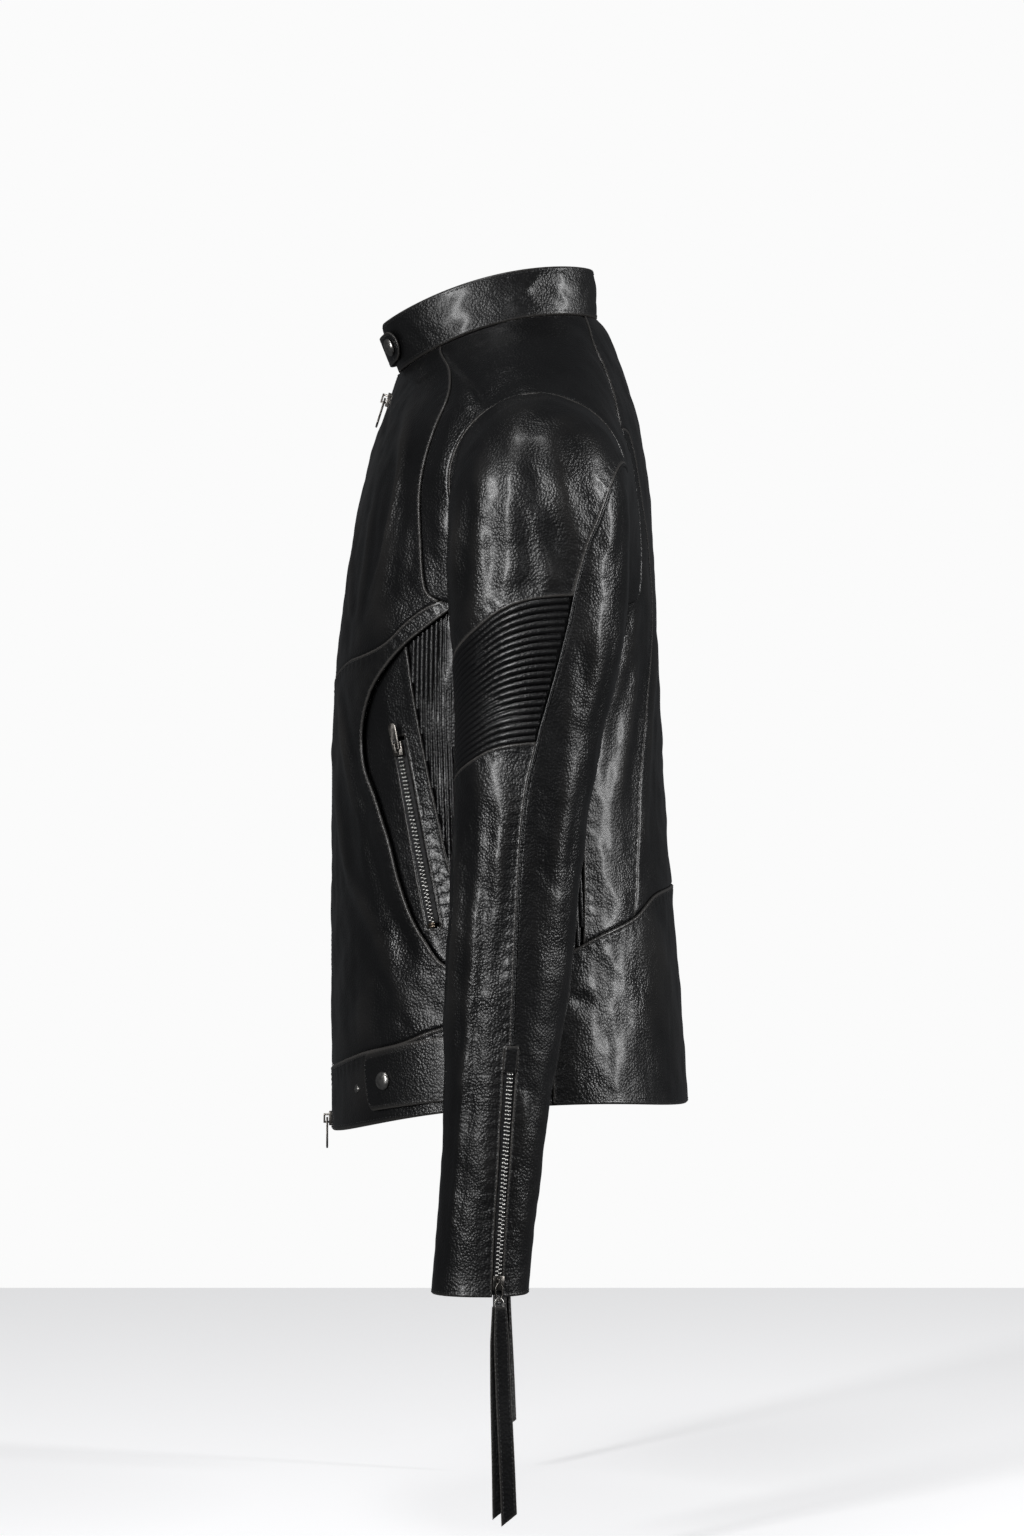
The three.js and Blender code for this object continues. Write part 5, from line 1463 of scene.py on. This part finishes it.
# %% A tree that repeats a small block along a line
def repeat_tree(name, round_piece):
    sizes = {"Pitch": 0.0025, "Across": 0.002, "Along": 0.001, "Deep": 0.001, "Material": None}
    tree, given = new_tree(name, sizes)
    curve = add(tree, "GeometryNodeMeshToCurve", {"Mesh": given["Geometry"]}).outputs[0]
    points = add(tree, "GeometryNodeResampleCurve", {"Curve": curve, "Length": given["Pitch"]},
                 mode="LENGTH").outputs[0]
    if round_piece:
        block = add(tree, "GeometryNodeMeshUVSphere", {"Segments": 6, "Rings": 4, "Radius": 0.5}).outputs[0]
    else:
        cube = add(tree, "GeometryNodeMeshCube", {"Size": (1, 1, 1)}).outputs[0]
        block = add(tree, "GeometryNodeSubdivisionSurface",
                    {"Mesh": cube, "Level": 1, "Edge Crease": 0.6}).outputs[0]
    out = add(tree, "GeometryNodeInputNamedAttribute", {"Name": "out"}, data_type="FLOAT_VECTOR").outputs[0]
    along = add(tree, "GeometryNodeInputTangent").outputs[0]
    facing = add(tree, "FunctionNodeAxesToRotation", {0: out, 1: along}, primary_axis="Z",
                 secondary_axis="Y").outputs[0]
    size = add(tree, "ShaderNodeCombineXYZ",
               {0: given["Across"], 1: given["Along"], 2: given["Deep"]}).outputs[0]
    spread_out = add(tree, "GeometryNodeInstanceOnPoints",
                     {"Points": points, "Instance": block, "Rotation": facing,
                                                            "Scale": size}).outputs[0]
    rounded = add(tree, "GeometryNodeRealizeInstances", {0: spread_out}).outputs[0]
    rounded = add(tree, "GeometryNodeSetShadeSmooth", {"Geometry": rounded}).outputs[0]
    return end_tree(tree, rounded, given["Material"])


TEETH_TREE, STITCH_TREE = repeat_tree("zip teeth", False), repeat_tree("stitches", True)


def make_teeth(name, lines, outs, pitch, across, along, deep, node_name):
    made = grow(make_lines(name, lines, outs), TEETH_TREE, Pitch=pitch * MM, Across=across * MM,
                Along=along * MM,
                Deep=deep * MM, Material=TEETH)
    dress(made, TEETH, "zip_metal")
    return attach(made, body_name(node_name))


print("teeth and stitch trees ready")

# %% [markdown]
# ## Main zip
# Each half of the main zip is a woven tape, sewn behind the front edge, with its row of
# teeth. The rows mesh, so one is half a pitch further along than the other.

# %% Main zip
ZIP_LEVELS = np.linspace(0.12, 9.97, 220)
MAIN_PITCH = 2.6
for text, side in SIDES.items():
    x = np.array([0.3, 1.5, 3, 5, 8, 11, 13])
    level_grid, x_grid = np.meshgrid(ZIP_LEVELS, x, indexing="ij")
    places = angle_at_x(x_grid, level_grid), level_grid
    ground, out = body_surface(*places), body_normal(*places)
    ground[..., 0] = x_grid
    tape = slab(f"main_zip_tape_{text}", flipped(ground - out * 2.0, side), flipped(ground - out * 3.0, side))
    dress(tape, TAPE, "zip_tape", f"main_zip_{text}")
    fine = np.linspace(0.14, 9.95, 900)
    middle_x = np.full(900, 1.25)
    spots = angle_at_x(middle_x, fine), fine
    row, row_out = body_surface(*spots), body_normal(*spots)
    row[:, 0] = 1.25
    row = row - row_out * 0.6
    if side < 0:  # starts half a pitch further along
        row = row + unit(np.gradient(row, axis=0)) * MAIN_PITCH / 2
    make_teeth(f"main_zip_teeth_{text}", [flipped(row, side)], [flipped(row_out, side)], MAIN_PITCH, 3.2, 1.1,
               2.4,
               f"main_zip_{text}")
print("main zip", MAIN_PITCH, "mm pitch")

# %% [markdown]
# ## Pocket and cuff zips
# The four small zips are straight: tape, two rows of teeth, a metal stop at the closed
# end, and a leather lip at each side of the pocket's slot. Their line and direction are
# worked out from the two places between which the chain is sewn.

# %% Small zips
SMALL_PITCH, TOOTH_ASIDE, SMALL_TAPE = 3.0, 1.15, 5.1  # drawn coarse, so that they show


def small_zip(name, end, top, out, node_name, side):
    along = unit(top - end)
    length = float(np.linalg.norm(top - end))
    out = unit(out - along * (out @ along))
    across = np.cross(along, out)
    s, x = np.linspace(0, length, 70), np.linspace(-SMALL_TAPE, SMALL_TAPE, 9)
    s_grid, x_grid = np.meshgrid(s, x, indexing="ij")
    ground = end + s_grid[..., None] * along + x_grid[..., None] * across
    tape = slab(f"{name}_tape", flipped(ground - out * 1.1, side), flipped(ground - out * 2.1, side))
    dress(tape, TAPE, "zip_tape", node_name)
    rows, outs = [], []
    for sign in (1, -1):
        start = 1.0 if sign > 0 else 1.0 + SMALL_PITCH / 2  # the rows mesh
        places = np.linspace(start, length - 1, 200)[:, None]
        rows.append(flipped(end + places * along + across * sign * TOOTH_ASIDE + out * 0.3, side))
        outs.append(flipped(np.repeat(out[None], 200, axis=0), side))
    make_teeth(f"{name}_teeth", rows, outs, SMALL_PITCH, 2.6, 1.35, 2.3, node_name)
    return along, across, out, length


pocket_mid = np.array([65.0]), np.array([7.45])
pocket_out = body_normal(*pocket_mid)[0]
cuff_top, cuff_end = (sleeve_surface(*map(float, place)) for place in (CUFF_ZIP_TOP, CUFF_ZIP_END))
cuff_out = sleeve_normal(np.array([164.0]), np.array([460.0]))[0]
for text, side in SIDES.items():
    along, across, out, length = small_zip(f"pocket_zip_{text}", pocket_end, pocket_top, pocket_out,
                                           f"pocket_zip_{text}", side)
    small_zip(f"sleeve_zip_{text}", cuff_end, cuff_top, cuff_out, f"sleeve_zip_{text}", side)
print("pocket chain", round(length, 1), "mm")

# %% [markdown]
# ## Sliders and pulls
# A slider is a small casting and its pull a stamped plate, both with edges that have been
# tumbled round. Their CAD solids have the right shape, so each piece is a copy of one
# with its loose triangles merged and its edges bevelled.

# %% Bevelled copies of the small castings
def bevelled(node_name, width, material, slot):
    made = new_object(f"{node_name}_cast", frame["nodes"][node_name].data.copy())
    shape = bmesh.new()
    shape.from_mesh(made.data)
    bmesh.ops.remove_doubles(shape, verts=shape.verts, dist=0.01 * MM)
    bmesh.ops.dissolve_limit(shape, angle_limit=0.02, verts=shape.verts, edges=shape.edges)
    shape.to_mesh(made.data)
    shape.free()
    edge = made.modifiers.new("edge", "BEVEL")
    edge.width, edge.segments, edge.limit_method, edge.angle_limit = width * MM, 2, "ANGLE", 0.5
    mesh = keep_result(made).data
    mesh.polygons.foreach_set("use_smooth", np.ones(len(mesh.polygons), bool))
    mesh.set_sharp_from_angle(angle=0.7)
    return dress(made, material, slot, node_name)


for node_name in ("main_zip_upper_slider", "main_zip_upper_pull", "main_zip_lower_slider",
                  "main_zip_lower_pull"):
    bevelled(node_name, 0.25, GUNMETAL, "zip_metal")
for text in SIDES:
    for node_name in ("pocket_zip_slider", "pocket_zip_pull", "sleeve_zip_slider"):
        bevelled(f"{node_name}_{text}", 0.25, GUNMETAL, "zip_metal")
print("ten castings")

# %% [markdown]
# ## Cuff pulls
# Each cuff slider is worked with a long doubled leather strip on a wire loop and an oval
# eyelet. They hang straight down, in a frame that is square to the cuff's zip.

# %% Cuff pulls
HINGE = np.array([273.76, 0.01, -716.3])
STRAP_OUT = unit(cuff_out * [1, 1, 0])
STRAP_ACROSS = np.cross([0, 0, 1.0], STRAP_OUT)


def hung(x, y, z):
    """A point of the pull: x across it, y up from its hinge and z outwards."""
    return HINGE + np.asarray(x)[..., None] * STRAP_ACROSS + np.asarray(y)[..., None] * [0, 0, 1] + (
        np.asarray(z)[..., None] * STRAP_OUT)


def wire_ring(name, half_width, half_height, middle, wire, side, lean=0.0):
    turns_round, turns_wire = np.linspace(0, 2 * np.pi, 49), np.linspace(0, 2 * np.pi, 12, endpoint=False)
    around, tube = np.meshgrid(turns_round, turns_wire, indexing="ij")
    out = wire * np.cos(tube)
    x, y = (half_width + out) * np.cos(around), middle + (half_height + out) * np.sin(around)
    z = wire * np.sin(tube) + lean * np.sin(around)
    made = make_object(name, flipped(hung(x, y, z).reshape(-1, 3), side), grid_faces(49, 12, closed=True))
    return tidy_mesh(made, 0.01)


TIP_SLANT = 9  # how much longer one edge of a strip is than the other


def leather_strip(name, x_top, x_low, length, z, side):
    s, t = graded(70, length, 1.0), graded(8, 12, 1.0)
    s_grid, t_grid = np.meshgrid(s, t)
    tip = length - TIP_SLANT * t_grid
    y = -17 - s_grid * (tip - 17)
    x = x_top + (x_low - x_top) * s_grid**1.3 + (t_grid - 0.5) * (9 + 3 * np.clip(s_grid * 6, 0, 1))
    bow = z + 1.2 * np.sin(s_grid * np.pi) * np.sign(z) + 0.5 * np.sin(s_grid * 9 + x_low)
    edge = np.minimum(np.minimum(t_grid, 1 - t_grid) * 12, np.minimum(s_grid, 1 - s_grid) * length)
    thick = 0.75 * rolled(edge, 1.0) - 0.25 * np.exp(-((edge - 2) / 0.6) ** 2)
    # the strip's edges are lighter: wear and a painted highlight
    made = slab(name, flipped(hung(x, y, bow + thick), side), flipped(hung(x, y, bow - thick), side),
                values=edge_wear_and_highlight(edge, 0.5, 1.0))
    run = np.linspace(0.03, 0.97, 120)
    face = np.sign(z)
    for across in (0.17, 0.83):
        line_tip = length - TIP_SLANT * across
        line_y = -17 - run * (line_tip - 17)
        line_x = x_top + (x_low - x_top) * run**1.3 + (across - 0.5) * (9 + 3 * np.clip(run * 6, 0, 1))
        line_z = z + 1.2 * np.sin(run * np.pi) * face + 0.5 * np.sin(run * 9 + x_low) + 0.6 * face
        out = np.repeat(flipped(STRAP_OUT * face, side)[None], 120, axis=0)
        stitch_rows.append((cuff_owner, flipped(hung(line_x, line_y, line_z), side), out))
    return made


for text, side in SIDES.items():
    cuff_owner = (body_name(f"sleeve_zip_pull_{text}"),)
    loop = wire_ring(f"cuff_pull_loop_{text}", 2.6, 6.6, -6.2, 0.65, side)
    dress(loop, GUNMETAL, "zip_metal", f"sleeve_zip_pull_{text}")
    eyelet = wire_ring(f"cuff_pull_eyelet_{text}", 3.4, 4.6, -15.6, 0.9, side)
    dress(eyelet, NICKEL, "zip_metal")
    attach(eyelet, cuff_owner[0])
    for number, (x_top, x_low, length, z) in enumerate(((-0.8, 1.2, 176.2, -1.0), (0.8, 7.6, 181.2, 1.0))):
        strip = leather_strip(f"cuff_pull_strip_{number + 1}_{text}", x_top, x_low, length, z, side)
        dress(strip, TRIM, "strap_leather")
        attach(strip, cuff_owner[0])
print("cuff pulls hang", 181, "mm")

# %% [markdown]
# ## Zip stops and patches
# A zip ends in a small brassy stop. A square patch of leather covers the top of each cuff
# zip, and a doubled strip of leather frames the pocket's slot.

# %% Stops, patches and lips
PATCH_HALF = 6.2, 10  # half its width and half its height


def strip_on(name, pattern, corners, lift, thickness, side, sink=None, rows=14, columns=60):
    """A leather patch laid on a surface; corners are the flat positions of its four corners."""
    s, t = np.meshgrid(np.linspace(0, 1, columns), np.linspace(0, 1, rows))
    a, b, c, d = (np.asarray(corner, float) for corner in corners)
    s3, t3 = s[..., None], t[..., None]
    flat = (a * (1 - s3) + b * s3) * (1 - t3) + (d * (1 - s3) + c * s3) * t3
    places = pattern.places(flat)
    ground, out = pattern.surface(*places), pattern.normal(*places)
    size = np.linalg.norm(b - a), np.linalg.norm(d - a)
    edge = np.minimum(np.minimum(s, 1 - s) * size[0], np.minimum(t, 1 - t) * size[1])
    depth = 0 if sink is None else sink(flat.reshape(-1, 2)).reshape(s.shape)
    bulge = thickness * rolled(edge, 1.2)
    top = ground + out * (lift + depth + bulge)[..., None]
    base = ground + out * (lift + depth - 0.8 + 0 * s)[..., None]
    # the edges are lighter: wear and a painted highlight
    return slab(name, flipped(top, side), flipped(base, side), values=edge_wear_and_highlight(edge, 0.4, 1.0))


LIP_INNER, LIP_OUTER, PAST_CHAIN = 4.4, 7.6, 3  # from the chain to the lip's edges, and past its ends


def slot_frame(name, pattern, top, end, node_name, side):
    """The two lips beside a zip."""
    top, end = pattern.flat(top), pattern.flat(end)
    along = unit(top - end)
    aside = np.array([-along[1], along[0]])
    for number, sign in enumerate((1, -1)):
        low, high = end - along * PAST_CHAIN, top + along * PAST_CHAIN
        inner, outer = aside * sign * LIP_INNER, aside * sign * LIP_OUTER
        corners = [low + inner, high + inner, high + outer, low + outer]
        lip = strip_on(f"{name}_lip_{number + 1}", pattern, corners, -0.6, 1.1, side, sunk, 10, 90)
        dress(lip, TRIM, "shell_leather")
        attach(lip, body_name(node_name))


for text, side in SIDES.items():
    slot_frame(f"pocket_{text}", body, POCKET_ZIP_TOP, POCKET_ZIP_END, f"pocket_panel_{text}", side)
    corners = [sleeve.flat((170.1, 367)) + [x * PATCH_HALF[0], y * PATCH_HALF[1]]
               for x, y in ((-1, -1), (1, -1), (1, 1), (-1, 1))]
    patch = strip_on(f"cuff_zip_patch_{text}", sleeve, corners, 1.5, 0.9, side, rows=16, columns=16)
    dress(patch, TRIM, "shell_leather")
    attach(patch, body_name(f"sleeve_zip_{text}"))
    for name, place, direction, node_name in (
            ("pocket_zip_stop", pocket_end, unit(pocket_top - pocket_end), f"pocket_zip_{text}"),
            ("cuff_zip_stop", cuff_top, unit(cuff_end - cuff_top), f"sleeve_zip_{text}")):
        centre = place - direction * 1.5
        out = pocket_out if "pocket" in name else cuff_out
        ends = np.array([centre - direction, centre + direction]) + out * 0.5
        stop = grow(make_lines(f"{name}_{text}", [flipped(ends, side)],
                               [flipped(np.array([out, out]), side)]),
                    TEETH_TREE, Pitch=10 * MM, Across=5.6 * MM, Along=2.2 * MM, Deep=2.4 * MM,
                    Material=BRONZE)
        dress(stop, BRONZE, "zip_metal")
        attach(stop, body_name(node_name))
print("zip stops and patches")

# %% [markdown]
# ## Linings
# The lining is one bag of twill for the body and one for each sleeve, sewn close to the
# leather at its edges and hanging a little away from it in between. They are thin sheets,
# and the sleeves' linings bend at the elbow.

# %% Linings
FACING_EDGE, LINING_THICKNESS = 19, 0.7


lining_front = body.flat(np.stack([angle_at_x(FACING_EDGE, edge_levels), edge_levels], -1))
lining_neck = body.flat([[angle, 0.15] for angle in np.linspace(0, 180, 90)])
lining_hem = body.flat([[angle, 9.93] for angle in np.linspace(0, 180, 90)])
lining_sides = cut(lining_front, lining_neck, middle_back, lining_hem)
lining_flat, lining_triangles = fill(lining_sides, 6)
lining_places = body.places(lining_flat)
edge_away = np.min([near_line(lining_flat, even(line, 5))[0] for k,
                    line in enumerate(lining_sides) if k != 2], axis=0)
halves = []
for side in (1, -1):
    ground, out = flipped(body_surface(*lining_places), side), flipped(body_normal(*lining_places), side)
    from_armhole = np.hypot(ground[:, 1] - ARMHOLE_Y, ground[:, 2] - ARMHOLE_Z)
    opening = ARMHOLE_RADIUS - 5
    near_rim = (np.abs(ground[:, 0]) > 90) & (np.abs(from_armhole - opening) < 3.5)
    ground[near_rim, 1] = ARMHOLE_Y + (ground[near_rim, 1] - ARMHOLE_Y) * opening / from_armhole[near_rim]
    ground[near_rim, 2] = ARMHOLE_Z + (ground[near_rim, 2] - ARMHOLE_Z) * opening / from_armhole[near_rim]
    hang = 1 - np.exp(-(edge_away / 16) ** 2)
    depth = -2.4 - 4.2 * hang + (sunk(lining_flat) + 0.8 * waves_at(ground, 31, 60, 2)) * hang
    centre = ground[lining_triangles].mean(1)
    within = (np.abs(centre[:, 0]) > 90) & (np.hypot(centre[:, 1] - ARMHOLE_Y,
                                                     centre[:, 2] - ARMHOLE_Z) < opening)
    triangles = faces_out(ground, out, lining_triangles[~within])
    halves.append((ground, ground + out * depth[:, None], out, triangles))
(g1, p1, n1, t1), (g2, p2, n2, t2) = halves
points, normals = np.vstack([p1, p2]), np.vstack([n1, n2])
points[np.abs(np.vstack([g1, g2])[:, 0]) < 0.02, 0] = 0
solid, faces = thicken(points, normals, np.vstack([t1, t2 + len(p1)]), LINING_THICKNESS)
body_lining = make_object("body_lining_twill", solid, faces)
join_middle(body_lining)
dress(body_lining, TWILL, "lining_cloth", "body_lining")

sleeve_turns = np.linspace(0, 360, 120, endpoint=False)
turn_grid, reach_grid = np.meshgrid(sleeve_turns, np.linspace(SLEEVE_HEAD, ARM_LENGTH - 1.5, 150))
for text, side in SIDES.items():
    ground, out = sleeve_surface(turn_grid, reach_grid), sleeve_normal(turn_grid, reach_grid)
    sewn = np.exp(-((reach_grid - SLEEVE_HEAD) / 12) ** 2) + np.exp(-((reach_grid - ARM_LENGTH) / 12) ** 2)
    wave = (0.4 * waves_at(flipped(ground, side).reshape(-1, 3), 41, 40, 2)).reshape(turn_grid.shape)
    depth = -4.9 + 2.6 * sewn + wave * (1 - sewn)
    outer, inner = ground + out * depth[..., None], ground + out * (depth - 0.6)[..., None]
    piece = slab(f"sleeve_lining_{text}_twill", flipped(outer, side), flipped(inner, side), closed=True)
    faces = grid_faces(*turn_grid.shape, closed=True)
    spots = ground.reshape(-1, 3)
    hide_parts(f"sleeve_lining_{text}")
    blended_piece(piece, text, TWILL, "lining_cloth")

# %% [markdown]
# ## Pocket bags and hanger
# A pocket bag is two layers of lining cloth sewn round, and hangs between the pocket's
# panel and the lining. The hanger loop inside the neck is a folded strip of leather.

# %% Pocket bags and hanger loop
BAG = [[47, 6.9], [57, 6.8], [66, 7.2], [72.5, 7.8], [73, 8.25], [66, 8.22], [60, 7.85], [52, 7.35],
       [47, 6.9]]
bag_line = body.line(BAG, 8)
bag_flat, bag_triangles = fill([bag_line], 4)
bag_places = body.places(bag_flat)
bag_away = near_line(bag_flat, bag_line)[0]
for text, side in SIDES.items():
    ground, out = flipped(body_surface(*bag_places), side), flipped(body_normal(*bag_places), side)
    puff = 0.25 + 0.9 * (1 - np.exp(-(bag_away / 9) ** 2))
    triangles = faces_out(ground, out, bag_triangles)
    top = ground + out * (sunk(bag_flat) - 3.2 + puff)[:, None]
    solid, faces = thicken(top, out, triangles, 2 * puff)
    bag = make_object(f"pocket_bag_{text}_twill", solid, faces)
    dress(bag, TWILL, "lining_cloth", f"pocket_bag_{text}")
path = smooth([[-32, 25], [-22, 14], [0, 9], [22, 14], [32, 25]], np.linspace(0, 4, 60))
aside = unit(np.gradient(path, axis=0))[:, ::-1] * [-1, 1]
across = graded(8, 7, 0.8)
rows = path[None] + aside[None] * ((across - 0.5) * 7)[:, None, None]
edge = np.minimum(across, 1 - across) * 7
bulge = rolled(edge, 0.8)[:, None] + np.zeros(60)
front = np.stack([rows[..., 0], 64.9 - bulge, rows[..., 1]], -1)
rear = np.stack([rows[..., 0], 64.9 + bulge, rows[..., 1]], -1)
hanger = slab("hanger_loop_leather", front, rear)
dress(hanger, TRIM, "strap_leather", "hanger_loop")
print("pocket bags and hanger loop")

# %% [markdown]
# ## Stitches
# About twelve metres of stitching hold the jacket together. Every row kept so far becomes
# a curve, and the second repeat tree lays a stitch of thread every 3.8 mm along it. The
# thread is drawn a little thicker than its real half millimetre, so that it shows.

# %% Stitches
STITCH_PITCH = 3.8
owners = {}
for owner, points, out in stitch_rows:
    owners.setdefault(tuple(owner), []).append((points, out))
for owner, rows in owners.items():
    made = grow(make_lines(f"stitches_{'_to_'.join(owner)}", [p for p, _ in rows], [o for _, o in rows]),
                STITCH_TREE,
                Pitch=STITCH_PITCH * MM, Across=0.75 * MM, Along=3.0 * MM, Deep=0.7 * MM, Material=THREAD)
    if len(owner) == 2:
        blended_piece(made, owner[0].split("_")[1], THREAD, "shell_leather")
    else:
        dress(made, THREAD, "shell_leather")
        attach(made, owner[0])
    print(owner, len(made.data.polygons), "faces")

# %% [markdown]
# ## Stage
# A plain pale floor under the jacket, a pale background and soft studio lights.

# %% Floor, background and lights
FLOOR_HALF, FLOOR_Z = 1800, -935
corners = [[x * FLOOR_HALF, y * FLOOR_HALF, FLOOR_Z] for x, y in ((-1, -1), (1, -1), (1, 1), (-1, 1))]
floor = make_object("floor", corners, [[0, 1, 2, 3]])
PAPER, tree, shader, place = new_material("pale_studio_floor", "#e9e9ea")
plug_in(tree, shader, {"Base Color": colour("#e9e9ea"), "Roughness": 0.9,
                       "Emission Color": colour("#f2f2f3"), "Emission Strength": 0.6})
floor.data.materials.append(PAPER)
floor.visible_glossy = floor.visible_diffuse = False  # seen and shadowed, but it throws no light back
world = bpy.data.worlds.new("studio")
world.use_nodes = True
world.node_tree.nodes.clear()
seen = add(world.node_tree, "ShaderNodeBackground", {"Color": colour("#fbfbfb"), "Strength": 1.0})
given = add(world.node_tree, "ShaderNodeBackground", {"Color": colour("#e6e9ee"), "Strength": 0.07})
ray = add(world.node_tree, "ShaderNodeLightPath").outputs["Is Camera Ray"]
mixed = add(world.node_tree, "ShaderNodeMixShader", {0: ray, 1: given.outputs[0], 2: seen.outputs[0]})
add(world.node_tree, "ShaderNodeOutputWorld", {"Surface": mixed.outputs[0]})
bpy.context.scene.world = world
bpy.context.scene.view_settings.view_transform = "Standard"


def soft_light(name, place, size, power, target=(0, 0, -0.35)):
    data = bpy.data.lights.new(name, "AREA")
    data.shape = "RECTANGLE"
    data.size, data.size_y = size
    data.energy = power
    lamp = new_object(name, data)
    lamp.location = place
    lamp.rotation_euler = (Vector(target) - Vector(place)).to_track_quat("-Z", "Y").to_euler()
    return lamp


soft_light("front strip", (2.4, -1.6, 0.45), (0.26, 1.8), 50)
soft_light("back strip", (0.7, 2.4, 0.4), (0.26, 1.9), 40)
soft_light("side strip", (3.6, 0.5, 0.5), (0.16, 1.6), 4)
soft_light("top panel", (0.9, -0.6, 2.4), (0.8, 0.8), 14, (0, 0, 0))
